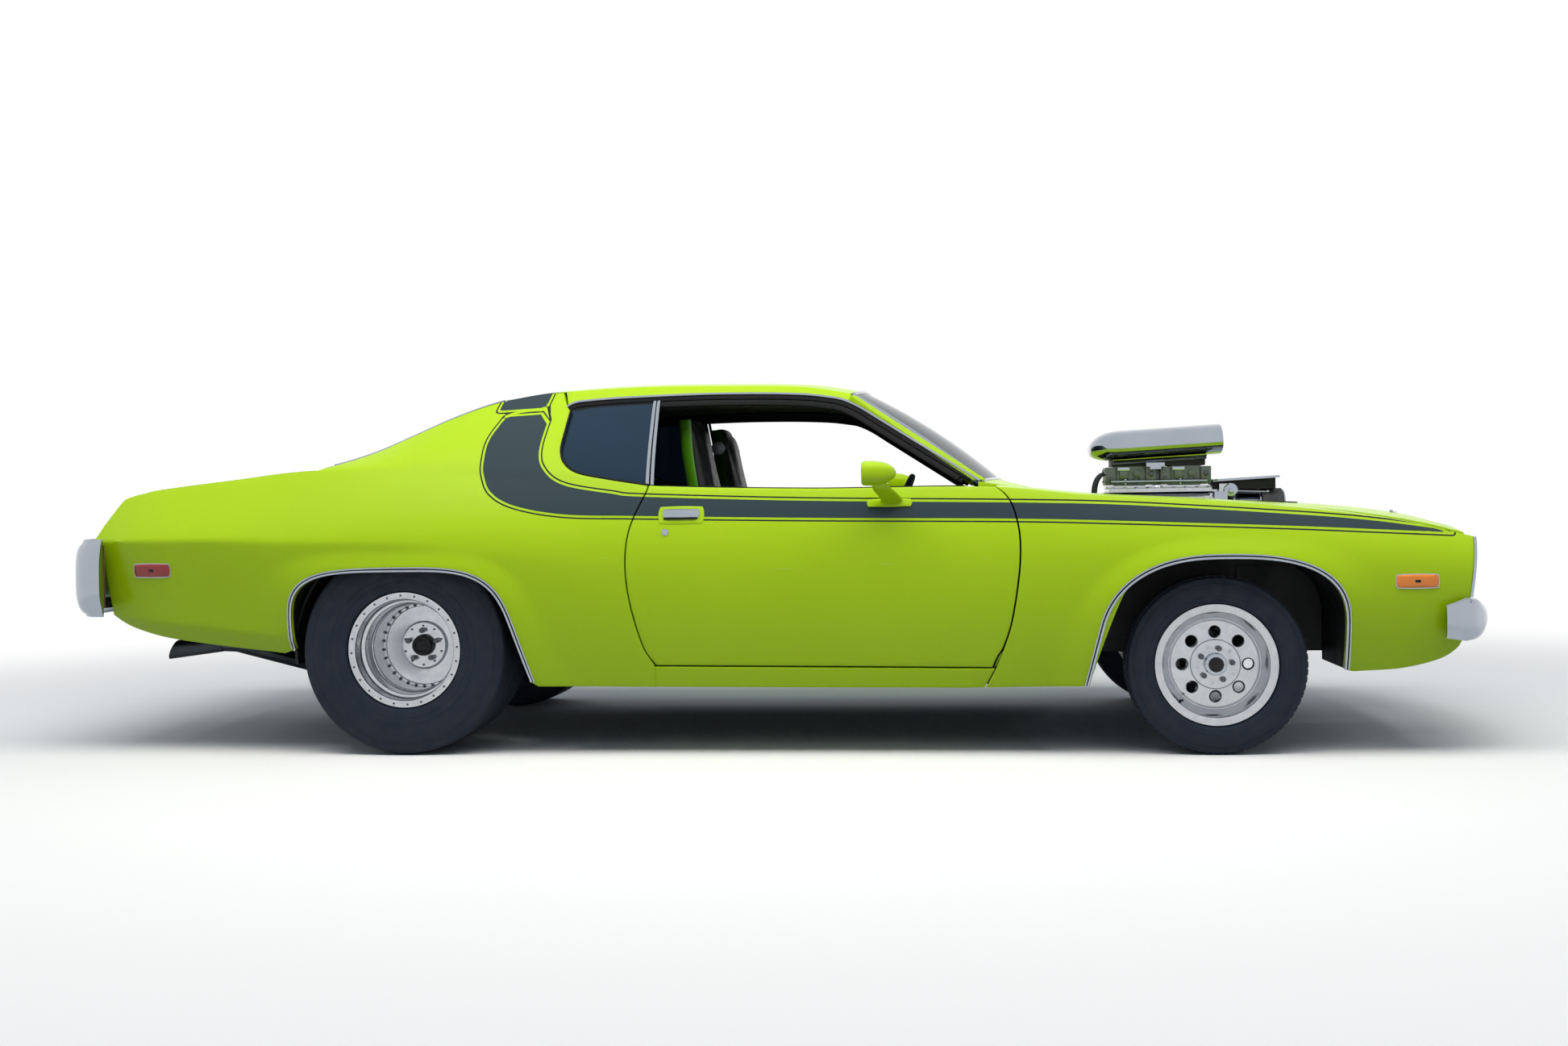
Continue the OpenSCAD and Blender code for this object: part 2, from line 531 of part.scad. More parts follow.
// Tail panel, lamps and the striker pin of the trunk lid.
tail_rows = [[560, -2450], [640, -2458], [740, -2465], [797, -2495], [863, -2468], [920, -2435]];
function tail_x(z, y) = lookup(z, tail_rows) - tail_bow(y);
module tail_panel() color(lime) {
    rows = [for (k = [10 : -1 : 0]) k / 5 - 1];
    out = [for (v = rows) [for (r = tail_rows) let (z = r[0], y = v * (side_y(-2480, z) - skin - 16))
        [tail_x(z, y), y, z]]];
    inn = [for (c = out) [for (p = c) [-2370, p[1], p[2]]]];
    thick(out, inn);
    post(hood_pin, 880, 996, -2300, 0);
    box(-2371, -2290, -20, 20, 868, 882);
}
module tail_lamps() color(red) both() {
    out = [for (y = [740, 640, 540, 440, 340, 240]) [for (z = [812, 863, 912]) [tail_x(z, y) - 9, y, z]]];
    inn = [for (c = out) [for (p = c) [p[0] + 8.7, p[1], p[2]]]];
    thick(out, inn);
}

// Nose with the grille opening, grille, lamps and bumpers.
function nose_x(z, y) = lookup(z, [[395, 2450], [546, 2476], [750, 2506]]) + 46 * (1 - pow(abs(y) / 860, 2));
module front_panel() color(lime) difference() {
    rows = [395, 546, 600, 660, 706, 728];
    out = [for (k = [0 : 12]) [for (z = rows) let (e = z > 700 ? 770 : 828, y = mix(-e, e, k / 12))
        [nose_x(z, y), y, z]]];
    inn = [for (c = out) [for (p = c) [2420 + seat_gap, p[1], p[2]]]];
    thick(out, inn);
    box(2300, 2700, -760, 760, 574, 706);
    for (s = [-1, 1]) box(2300, 2700, s * 420 - 42, s * 420 + 42, 430, 480);
}
module grille() color(black) {
    for (z = [588 : 17 : 700]) translate([0, 0, z]) linear_extrude(height = 6) polygon(concat(
        [for (k = [0 : 12]) let (y = mix(-420, 420, k / 12)) at([nose_x(650, y) - 22, y])],
        [for (k = [12 : -1 : 0]) let (y = mix(-420, 420, k / 12)) at([nose_x(650, y) - 44, y])]));
    for (y = [-415, -140, 140, 415]) let (x = nose_x(650, y)) {
        box(x - 50, x - 26, y - 6, y + 6, 574 + seat_gap, 706 - seat_gap);
    }
    box(2440, 2452, -759.7, 759.7, 574.3, 705.7);
    box(2440, nose_x(650, 415) - 30, -415, 415, 580, 586);
}
module headlamps() color(chrome) both() for (y = [510, 672]) {
    x = nose_x(650, y) - 34;
    difference() {
        rod_x(64, 2452 + seat_gap, x + 8, y, 640);
        rod_x(58, x, x + 30, y, 640);
    }
    place(x, y, 640) rotate([0, 90, 0]) rotate_extrude()
        polygon([[0, 0], [58, 0], [58, 4], [42, 10], [21, 14], [0, 15]]);
}
front_bar = spaced(curve([[2384, -966], [2446, -954], [2508, -904], [2574, -776], [2640, -480], [nose_end, 0],
    [2640, 480], [2574, 776], [2508, 904], [2446, 954], [2384, 966]]), 28);
rear_bar = spaced(curve([[-2442, 972], [-2515, 954], [-2588, 872], [-2638, 650], [-2662, 340], [-nose_end, 0],
    [-2662, -340], [-2638, -650], [-2588, -872], [-2515, -954], [-2442, -972]]), 28);
front_bar_top = [[0, 519], [0.071, 541], [0.143, 536], [0.214, 514], [1, 504]];
front_bar_low = [[0, 410], [0.071, 402], [0.214, 412], [1, 420]];
front_bar_depth = [[0, 12], [0.143, 14], [0.286, 40], [0.429, 52], [1, 52]];
module bumper_front() color(chrome) {
    rings = [for (i = [0 : 28]) let (s = min(i, 28 - i) / 14, top = lookup(s, front_bar_top),
        low = lookup(s, front_bar_low), d = lookup(s, front_bar_depth))
        [[d * 0.7, low], [min(12, d * 0.4), low + 8], [0, low + 40], [0, top - 30],
            [min(10, d * 0.35), top - 6], [d * 0.7, top], [d, top - 8], [d, low + 8]]];
    swept(front_bar, rings);
    for (s = [-1, 1]) box(2420 + seat_gap, 2610, s * 420 - 30, s * 420 + 30, 440, 470);
}
module bumper_rear() color(chrome) {
    rings = [for (i = [0 : 28]) let (d = mix(26, 58, min(1, min(i, 28 - i) / 4)))
        [[d * 0.76, 526], [14, 548], [0, 600], [0, 712], [8, 764], [d * 0.55, 792],
            [d * 0.9, 790], [d, 540]]];
    swept(rear_bar, rings);
    for (s = [-1, 1]) box(-2606, -2400 - seat_gap, s * 420 - 30, s * 420 + 30, 505, 542);
}
module side_markers() both() {
    color(red) marker(-2328, -2181, 663, 712);
    color(amber) marker(2220, 2366, 581, 627);
}
module marker(x0, x1, z0, z1) {
    out = [for (i = [0 : 4]) [for (k = [0 : 2]) let (x = mix(x0, x1, i / 4), z = mix(z0, z1, k / 2))
        [x, side_y(x, z) + 8, z]]];
    inn = [for (c = out) [for (p = c) [p[0], p[1] - 7.2, p[2]]]];
    thick(out, inn);
}

// Mirror and handle that ride a door.
module mirror_and_handle() {
    y0 = side_y(490, 905);
    color(lime) {
        $fn = 10;
        hull() {
            for (y = [78, 178], z = [973, 1030]) ball(10, 412, y0 + y, z);
            ball(14, 500, y0 + 108, 985);
            ball(14, 500, y0 + 150, 1015);
        }
        hull() {
            box(430, 542, side_y(430, 905) + 4, side_y(430, 905) + 10, 900, 910);
            box(440, 490, y0 + 84, y0 + 108, 968, 976);
        }
        out = [for (x = [412, 450, 500, 540, 568]) [for (z = [888, 896, 912]) [x, side_y(x, z) + 8, z]]];
        thick(out, [for (c = out) [for (p = c) [p[0], p[1] - 7.4, p[2]]]]);
    }
    color(chrome) {
        out = [for (x = [-324, -300, -250, -214, -190]) [for (z = [850, 868, 888])
            [x, side_y(x, z) + 12, z]]];
        thick(out, [for (c = out) [for (p = c) [p[0], p[1] - 12, p[2]]]]);
        y1 = side_y(-314, 790);
        rod_y(13, y1 - 0.5, y1 + 5, -314, 805, $fn = 24);
    }
}
module mirrors_handles_left() left() mirror_and_handle();
module mirrors_handles_right() right() mirror_and_handle();

// Floor with its tunnel, bulkhead step and trunk floor.
floor_z = 258;
trunk_z = 545;
module floor_pan() color(black) difference() {
    union() {
        box(-760, 904.7, -799.7, 799.7, floor_z, floor_z + 16);
        box(-760, -745, -tub_in + seat_gap, tub_in - seat_gap, floor_z, trunk_z + 15);
        box(-2369.7, -745, -tub_in + seat_gap, tub_in - seat_gap, trunk_z, trunk_z + 15);
        box(-2369.7, -1752, -780, 780, trunk_z, trunk_z + 15);
        rod_x(165, -760, 904.7, 0, 330);
    }
    rod_x(155, -800, 1000, 0, 330);
    box(-3000, 3000, -200, 200, 0, floor_z);
}
rail_line = [[-2400, 470], [-2400, 544.7], [-900, 544.7], [-800, 430], [-765, 257.7], [925, 257.7],
    [1010, 400], [2420, 400], [2420, 330], [1050, 330], [960, 205], [-815, 205], [-900, 390], [-960, 470]];
module frame_rails() color(black) both() difference() {
    side_plate(385, 455, rail_line);
    post(tie_down_radius, 400, 600, -2330, 420);
    post(tow_radius, 300, 420, 2370, 420);
}
module firewall() color(black) difference() {
    box(905, 920, -759.7, 759.7, floor_z, 899.7);
    rod_x(140, 800, 1000, 0, 375);
}
module rear_bulkhead() color(black) {
    box(-1020, -1005, -tub_in + 5, tub_in - 5, trunk_z + 15 + seat_gap, 1050);
    box(-1599.7, -1005, -700, 700, 1050, 1062);
    box(-1020, -1005, -700, 700, 830, 1050);
}
module inner_fenders() color(black) both() {
    xs = [for (k = [8 : -1 : 0]) mix(985 + seat_gap, 2320, k / 8)];
    out = [for (x = xs) let (z = top_z(x, hood_line)) [[x, 507, 490], [x, 515, z - 150], [x, 700, z - 75],
        [x, hood_line - seat_gap, z - 44]]];
    inn = [for (x = xs) let (z = top_z(x, hood_line)) [[x, 495, 490], [x, 503, z - 143], [x, 694, z - 66],
        [x, hood_line - seat_gap, z - 34]]];
    thick(out, inn);
}
module wheel_tubs() color(black) both() difference() {
    rod_y(rear_tyre_radius + 52, tub_in, 868, rear_axle, rear_tyre_radius);
    rod_y(rear_tyre_radius + 42, tub_in + 10, 940, rear_axle, rear_tyre_radius);
    box(-3000, 3000, 400, 1100, -200, 330);
    rod_y(90, tub_in - 20, tub_in + 20, rear_axle, rear_tyre_radius);
    box(rear_axle - 130, rear_axle + 130, tub_in - 20, tub_in + 20, 300, rear_tyre_radius);
}

// Cabin.
module dashboard() color(black) side_plate(-752, 752, [[904.7, 560], [904.7, 876], [790, 894], [665, 888],
    [640, 858], [640, 720], [700, 600], [760, 560]]);
module steering_wheel() color(black) difference() {
    union() {
        place(480, 355, 880) rotate([0, -66, 0]) {
            rotate_extrude() translate([185, 0]) circle(r = 13, $fn = 24);
            cylinder(r = 34, h = 22, center = true);
            for (g = [0, 120, 240]) rotate([0, 0, g]) translate([20, -14, -4]) cube([160, 28, 7]);
            translate([0, 0, -220]) cylinder(r = 24, h = 215);
        }
    }
    box(639.7, 1000, 0, 700, 0, 1200);
}
module seat_solid() {
    $fn = 16;
    side_plate(178, 658, [[-150, 274.3], [400, 274.3], [400, 330], [-150, 330]]);
    hull() {
        rod_y(66, 216, 620, -40, 400);
        rod_y(72, 216, 620, 345, 425);
        box(-100, 395, 196, 640, 329, 332);
    }
    hull() {
        rod_y(74, 206, 630, -110, 420);
        rod_y(62, 216, 620, -205, 760);
        rod_y(50, 241, 595, -245, 960);
    }
    hull() {
        rod_y(46, 251, 585, -243, 960);
        rod_y(42, 285, 551, -288, 1222);
    }
}
module seat_left() color(black) left() seat_solid();
module seat_right() color(black) right() seat_solid();

// Engine bay.
module radiator() color(black) {
    box(2325, 2378, -500, 500, 400.3, 470);
    box(2325, 2378, -360, 360, 470, 700);
    for (s = [-1, 1]) post(hood_pin, 430, 870, 2345, s * 400);
}
module engine() color(steel) difference() {
    union() {
        box(1130, 1730, -150, 150, 330, 560);
        for (s = [-1, 1]) place(1140, 0, 470) rotate([s * 42, 0, 0]) {
            translate([0, -75, 40]) cube([at_x(1720) - at_x(1140), 150, 260]);
        }
        box(1180, 1700, -150, 150, 560, 780);
        rod_x(170, 1000, 1131, 0, 400);
        rod_x(104, 432, 1001, 0, 375);
        rod_x(75, 1730, 1860, 0, 420);
        rod_x(62, 1926, 2025, 0, 420);
        rod_x(28, 1859, 1927, 0, 420);
    }
}
module blower() color(chrome) {
    box(1310, 1740, -118, 118, 780.3, 930);
    for (s = [-1, 1]) rod_x(62, 1310, 1740, s * 62, 868);
    box(1740, 1790, -118, 118, 800, 928);
    rod_x(46, 1789, 1930, 0, 866);
    rod_x(62, 1926, 2025, 0, 866);
    for (x = [1926, 2019]) rod_x(67, x, x + 6, 0, 866);
    box(1330, 1730, -105, 105, 929, 944);
    box(1742, 1975, -70, 70, 938, 972);
    box(1736, 1992, -78, 78, 970, 978);
    box(1741, 1789, -60, 60, 900, 940);
    color(black) difference() {
        union() {
            rod_x(69, 1936, 2016, 0, 866);
            rod_x(69, 1936, 2016, 0, 420);
            box(1936, 2016, -69, 69, 420, 866);
        }
        rod_x(62.3, 1900, 2100, 0, 866);
        rod_x(62.3, 1900, 2100, 0, 420);
        box(1900, 2100, -62.3, 62.3, 420, 866);
    }
}
module carburettors() color(steel) for (x = [1420, 1635]) {
    box(x - 95, x + 95, -80, 80, 944.3, 956);
    box(x - 55, x + 55, -68, 68, 955, 1006);
    box(x - 98, x - 56, -75, 75, 962, 1004);
    box(x + 56, x + 98, -75, 75, 962, 1004);
    box(x - 57, x + 57, -60, 60, 966, 992);
    for (dx = [-28, 28], dy = [-30, 30]) post(24, 1000, 1034, x + dx, dy);
}
scoop_back = at_x(1774) - scoop_length;
module scoop_shape(w, h, cut) {
    $fn = 16;
    hull() {
        for (s = [-1, 1]) {
            translate([scoop_length - 10 + cut, s * (w / 2 - 42), h - 42]) rotate([0, 90, 0])
                cylinder(r = 42, h = 10);
            translate([scoop_length - 10 + cut, s * (w / 2 - 20), 20]) rotate([0, 90, 0])
                cylinder(r = 20, h = 10);
            translate([90, s * (w / 2 - 62), h - 75]) sphere(r = 50);
            translate([70, s * (w / 2 - 66), 34]) sphere(r = 34);
        }
        translate([60, 0, h / 2]) sphere(r = h / 2 - 4);
    }
}
module scoop() color(chrome) {
    translate([scoop_back, 0, 1050]) difference() {
        rotate([0, -scoop_tilt, 0]) {
            difference() {
                scoop_shape(scoop_width, scoop_height, 0);
                translate([24, 0, 6]) scoop_shape(scoop_width - 16, scoop_height - 12, 30);
            }
        }
        translate([-100, -300, -200]) cube([1000, 600, 192]);
    }
    box(1345, 1712, -72, 72, 1034.3, 1064);
}
module driveshaft() color(steel) rod_x(38, -1129.7, 431.7, 0, 375);
module rear_axle() color(black) {
    rod_y(46, -600, 600, rear_axle, rear_tyre_radius);
    rod_x(140, rear_axle - 55, rear_axle + 55, 0, rear_tyre_radius);
    rod_x(70, rear_axle + 50, -1130, 0, 375);
    for (s = [-1, 1]) {
        place(rear_axle, s * 599, rear_tyre_radius) rotate([s * -90, 0, 0])
            cylinder(r = 34, h = rear_face - at_y(599));
        box(rear_axle - 40, -840, s * 345 - 22, s * 345 + 22, 318, 358);
        box(-880, -822, s > 0 ? 323 : -384.7, s > 0 ? 384.7 : -323, 300, 372);
    }
}
rear_face = at_y(rear_rim_plane) - rear_dish + 16.5;
module exhaust() color(steel) both() {
    rod_x(32, 620, 1100, 300, 222);
    box(60, 620, 230, 370, 186, 246);
    box(300, 330, 280, 320, 245, 257.7);
    pipe(30, [[61, 300, 222], [-920, 300, 222], [-970, 316, 228], [-1070, 456, 282], [-1120, 478, 288],
        [-1740, 478, 288], [-1800, 490, 294], [-2040, 676, 392], [-2110, 706, 398]], 12);
    difference() {
        place(-2090, 703, 400) rotate([0, -97, -10]) cylinder(r = 34, h = 226);
        place(-2090, 703, 400) rotate([0, -97, -10]) translate([0, 0, 40]) cylinder(r = 30, h = 226);
        place(-2300, 690, 300) rotate([0, 22, 0]) translate([-60, 0, -20]) cube([60, 120, 200]);
    }
}

// Front suspension, knuckles, wheels and tyres.
pin_y = 706;
module front_suspension() color(black) both() {
    box(front_axle - 65, front_axle + 65, -0.1, 384.7, 215, 329.7);
    difference() {
        union() {
            rod_y(24, 380, pin_y, front_axle, 240);
            post(28, 222, 258, front_axle, pin_y);
        }
        post(14.08, 100, 600, front_axle, pin_y);
    }
    box(front_axle - 50, front_axle + 50, 390, 450, 400.3, 470);
    difference() {
        union() {
            rod_y(18, 449, pin_y, front_axle, 445);
            post(26, 430, 460, front_axle, pin_y);
        }
        post(14.08, 100, 600, front_axle, pin_y);
    }
}
module knuckle() color(steel) {
    post(14, 218, 464, front_axle, pin_y);
    post(30, 268, 424, front_axle, pin_y);
    place(front_axle, pin_y, front_tyre_radius) rotate([-90, 0, 0])
        cylinder(r = 30, h = at_y(front_rim_plane - pin_y) - 34);
    box(front_axle - 150, front_axle, pin_y - 12, pin_y + 12, 268, 292);
}
module knuckle_left() left() knuckle();
module knuckle_right() right() knuckle();
module wheel_at(x, plane, z) place(x, plane, z) rotate([-90, 0, 0]) children();

// Front wheel: outward is +Z here, with the rim's outer face at z = 0.
module front_wheel_shape() color(chrome) difference() {
    rotate_extrude($fn = 96) polygon([[30.08, -80], [85, -80], [85, -58], [150, -66], [164, -72], [164, -84],
        [b - 14, -rim_w + 14], [b - 10, -rim_w], [b + 24, -rim_w], [b + 24, -rim_w + 6], [b + 6, -rim_w + 9],
        [b, -rim_w + 14], [b, -rim_w + 34], [b - 17, -rim_w + 44], [b - 17, -42], [b, -34], [b, -14],
        [b + 6, -9], [b + 24, -6], [b + 24, 0], [b + 16, 0], [b - 4, -8], [b - 16, -30], [160, -54],
        [152, -48], [88, -40], [85, -34], [40, -34], [38, -16], [0, -12], [0, -33], [30.08, -33]]);
    for (g = [0 : 45 : 315]) rotate([0, 0, g]) translate([116, 0, -120]) cylinder(r = 17.5, h = 160);
    for (g = [0 : 72 : 288]) rotate([0, 0, g]) translate([66, 0, -46]) cylinder(r = 6.5, h = 40, $fn = 24);
}
module front_lugs() color(steel) for (g = [36 : 72 : 324]) rotate([0, 0, g])
    translate([57.15, 0, -40]) cylinder(r = 10, h = 26, $fn = 24);
module front_wheel() {
    front_wheel_shape();
    front_lugs();
}
module wheel_front_left() left() wheel_at(front_axle, front_rim_plane, front_tyre_radius) front_wheel();
module wheel_front_right() right() wheel_at(front_axle, front_rim_plane, front_tyre_radius) front_wheel();

// Rear wheel: deep dish with a stepped barrel and a bolted middle.
module rear_wheel() {
    d = -rear_dish;
    color(chrome) rotate_extrude($fn = 96) polygon([[34.08, d - 20], [165, d - 20], [165, -rear_w + 24],
        [b - 12, -rear_w + 10], [b - 10, -rear_w], [b + 22, -rear_w], [b + 22, -rear_w + 6],
        [b + 4, -rear_w + 9],
        [b, -rear_w + 14], [b, -rear_w + 40], [b - 15, -rear_w + 54], [b - 15, -62], [b, -50], [b, -15],
        [b + 4, -9], [b + 22, -6], [b + 22, 0], [b - 2, 0], [b - 5, -6], [b - 8, -54], [b - 21, -62],
        [b - 23, -120], [160, -126], [158, d + 12], [150, d + 12], [150, d], [90, d], [86, d + 18],
        [40, d + 18],
        [38, d + 30], [0, d + 32], [0, d + 17], [34.08, d + 17]]);
    color(steel) for (g = [0 : 72 : 288]) rotate([0, 0, g + 18]) translate([57.15, 0, d + 17])
        cylinder(r = 10, h = 24, $fn = 24);
}
module wheel_rear_left() left() wheel_at(rear_axle, rear_rim_plane, rear_tyre_radius) rear_wheel();
module wheel_rear_right() right() wheel_at(rear_axle, rear_rim_plane, rear_tyre_radius) rear_wheel();

// Tyre section: bead, bulged wall, rounded shoulder and a nearly flat tread.
function tyre_ring(r, w, rim, sh) = let (h = r - b)
    [for (s = [-1, 1]) let (side = [[b + seat_gap, rim / 2 - 17], [b + 6.5, rim / 2 - 10.5],
        [b + 25, rim / 2 - 7.5], [b + 31, w / 2 - 7], [b + h * 0.36, w / 2 - 1.5],
        [b + h * 0.5, w / 2], [b + h * 0.66, w / 2 - 2], [r - sh, w / 2 - 9],
        [r - sh * 0.36, w / 2 - 9 - sh * 0.3],
        [r - 4, w / 2 - 9 - sh], [r, (w / 2 - 9 - sh) * 0.55]])
        for (k = [0 : 10]) let (p = s < 0 ? side[k] : side[10 - k]) [p[0], s * p[1]]];
module tyre(r, w, rim, sh) color(black) rotate_extrude($fn = 120)
    polygon(tyre_ring(r, w, rim, sh));
module front_tyre() wheel_at(front_axle, front_rim_plane, front_tyre_radius) translate([0, 0, -rim_w / 2])
    tyre(front_tyre_radius, front_tyre_width, rim_w, 20);
module rear_tyre() wheel_at(rear_axle, rear_rim_plane, rear_tyre_radius) translate([0, 0, -rear_w / 2])
    tyre(rear_tyre_radius, rear_tyre_width, rear_w, 26);
module tyre_front_left() left() front_tyre();
module tyre_front_right() right() front_tyre();
module tyre_rear_left() left() rear_tyre();
module tyre_rear_right() right() rear_tyre();

floor_pan();
frame_rails();
firewall();
cowl();
door_posts();
sills();
quarter_left();
quarter_right();
fender_left();
fender_right();
door_left();
door_right();
hood();
roof();
windshield_pillars();
windshield();
rear_window();
quarter_glass();
deck_panel();
trunk_lid();
tail_panel();
tail_lamps();
front_panel();
grille();
headlamps();
bumper_front();
bumper_rear();
side_markers();
mirrors_handles_left();
mirrors_handles_right();
inner_fenders();
wheel_tubs();
rear_bulkhead();
dashboard();
steering_wheel();
seat_left();
seat_right();
radiator();
engine();
blower();
carburettors();
scoop();
driveshaft();
rear_axle();
exhaust();
front_suspension();
knuckle_left();
knuckle_right();
wheel_front_left();
wheel_front_right();
wheel_rear_left();
wheel_rear_right();
tyre_front_left();
tyre_front_right();
tyre_rear_left();
tyre_rear_right();
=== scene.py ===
"""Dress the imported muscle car: smooth lime panels, side stripe, chrome, glass, wheels, blower and cabin.

Lengths are millimetres until a mesh is made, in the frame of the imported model: +X forward, +Y to the
car's left, +Z up, ground at zero. The body's lines repeat those of the part's source, at its usual size.
"""
from __future__ import annotations

import logging
import math
from dataclasses import dataclass, field
from enum import Enum
from typing import Callable, Iterable, Optional, Sequence

import bmesh
import bpy
import numpy as np
from mathutils import Matrix, Vector

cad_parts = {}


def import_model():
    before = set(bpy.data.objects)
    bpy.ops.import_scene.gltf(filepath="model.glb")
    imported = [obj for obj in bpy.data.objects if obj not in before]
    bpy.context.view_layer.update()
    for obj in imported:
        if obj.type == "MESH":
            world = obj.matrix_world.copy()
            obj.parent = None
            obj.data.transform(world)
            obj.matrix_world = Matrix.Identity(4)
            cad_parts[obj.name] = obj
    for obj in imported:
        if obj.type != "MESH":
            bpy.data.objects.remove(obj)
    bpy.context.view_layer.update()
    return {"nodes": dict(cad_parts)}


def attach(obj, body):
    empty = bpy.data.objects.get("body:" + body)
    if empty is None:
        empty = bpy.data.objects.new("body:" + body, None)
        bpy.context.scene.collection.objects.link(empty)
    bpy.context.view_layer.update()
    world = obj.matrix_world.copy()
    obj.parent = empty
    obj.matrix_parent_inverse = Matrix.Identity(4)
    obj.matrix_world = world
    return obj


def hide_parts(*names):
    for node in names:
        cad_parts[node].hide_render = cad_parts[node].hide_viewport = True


LOG = logging.getLogger("muscle_car")
MM = 0.001
FRONT_AXLE, REAR_AXLE = 1625.5, -1295.5
SIDES = (("left", 1.0), ("right", -1.0))
Array = np.ndarray


def linear(code: str) -> tuple[float, float, float, float]:
    """Turn an sRGB hex colour into linear RGBA.

    Args:
        code: The colour as "#rrggbb".

    Returns:
        Linear red, green, blue and full alpha.
    """
    channels = [int(code[i : i + 2], 16) / 255 for i in (1, 3, 5)]
    curve = [c / 12.92 if c <= 0.04045 else ((c + 0.055) / 1.055) ** 2.4 for c in channels]
    return (curve[0], curve[1], curve[2], 1.0)


def add(tree: bpy.types.NodeTree, kind: str, inputs: Optional[dict] = None, **settings) -> bpy.types.Node:
    """Add a node, set its properties and feed its inputs.

    Args:
        tree: The tree that takes the node.
        kind: Blender's name of the node's type.
        inputs: Values or sockets by input name or number; a socket is linked.
        settings: Properties of the node.

    Returns:
        The new node.
    """
    made = tree.nodes.new(kind)
    for key, value in settings.items():
        setattr(made, key, value)
    for key, value in (inputs or {}).items():
        if isinstance(value, bpy.types.NodeSocket):
            tree.links.new(value, made.inputs[key])
        else:
            made.inputs[key].default_value = value
    return made


@dataclass(frozen=True)
class Finish:
    """One real surface, with mottled colour, uneven gloss and a fine bump at real sizes."""

    name: str
    colour: str
    second: str = ""
    patch_mm: float = 60.0
    roughness: float = 0.4
    uneven: float = 0.08
    metallic: float = 0.0
    coat: float = 0.0
    bump: float = 0.0
    bump_mm: float = 2.0
    sheen: float = 0.0
    transmission: float = 0.0
    ior: float = 1.5
    specular: float = 0.5

    def material(self) -> bpy.types.Material:
        """Build the material once and return it afterwards."""
        known = bpy.data.materials.get(self.name)
        return known if known else self.build()

    def build(self) -> bpy.types.Material:
        """Make the node tree.

        Returns:
            The finished material.
        """
        made = bpy.data.materials.new(self.name)
        made.use_nodes = True
        tree = made.node_tree
        shader = tree.nodes["Principled BSDF"]
        where = add(tree, "ShaderNodeTexCoord").outputs["Object"]
        mottle = add(tree, "ShaderNodeTexNoise", {"Vector": where, "Scale": 1000 / self.patch_mm, "Detail": 5.0})
        colour = self.base_colour(tree, mottle.outputs["Fac"])
        tree.links.new(colour, shader.inputs["Base Color"])
        gloss = add(tree, "ShaderNodeMapRange", {"Value": mottle.outputs["Fac"], "From Min": 0.3, "From Max": 0.7,
                    "To Min": max(0.02, self.roughness - self.uneven), "To Max": self.roughness + self.uneven})
        tree.links.new(self.gloss(tree, gloss.outputs["Result"]), shader.inputs["Roughness"])
        for key, value in {"Metallic": self.metallic, "Coat Weight": self.coat, "Coat Roughness": 0.04,
                           "Sheen Weight": self.sheen, "Transmission Weight": self.transmission,
                           "IOR": self.ior, "Specular IOR Level": self.specular}.items():
            shader.inputs[key].default_value = value
        if self.bump:
            grain = add(tree, "ShaderNodeTexNoise", {"Vector": where, "Scale": 1000 / self.bump_mm, "Detail": 3.0})
            relief = add(tree, "ShaderNodeBump", {"Height": grain.outputs["Fac"], "Strength": self.bump,
                                                  "Distance": self.bump_mm * MM})
            tree.links.new(relief.outputs["Normal"], shader.inputs["Normal"])
        return made

    def base_colour(self, tree: bpy.types.NodeTree, fac: bpy.types.NodeSocket) -> bpy.types.NodeSocket:
        """Mix the two colours by the mottling.

        Args:
            tree: The material's tree.
            fac: The mottling, from 0 to 1.

        Returns:
            The colour socket.
        """
        mix = add(tree, "ShaderNodeMix", {"Factor": fac, "A": linear(self.colour),
                                          "B": linear(self.second or self.colour)}, data_type="RGBA")
        return [s for s in mix.outputs if s.type == "RGBA"][0]

    def gloss(self, tree: bpy.types.NodeTree, rough: bpy.types.NodeSocket) -> bpy.types.NodeSocket:
        """Hand on the roughness; a finish with marks changes it.

        Args:
            tree: The material's tree.
            rough: Roughness of the plain surface.

        Returns:
            Roughness to use.
        """
        return rough


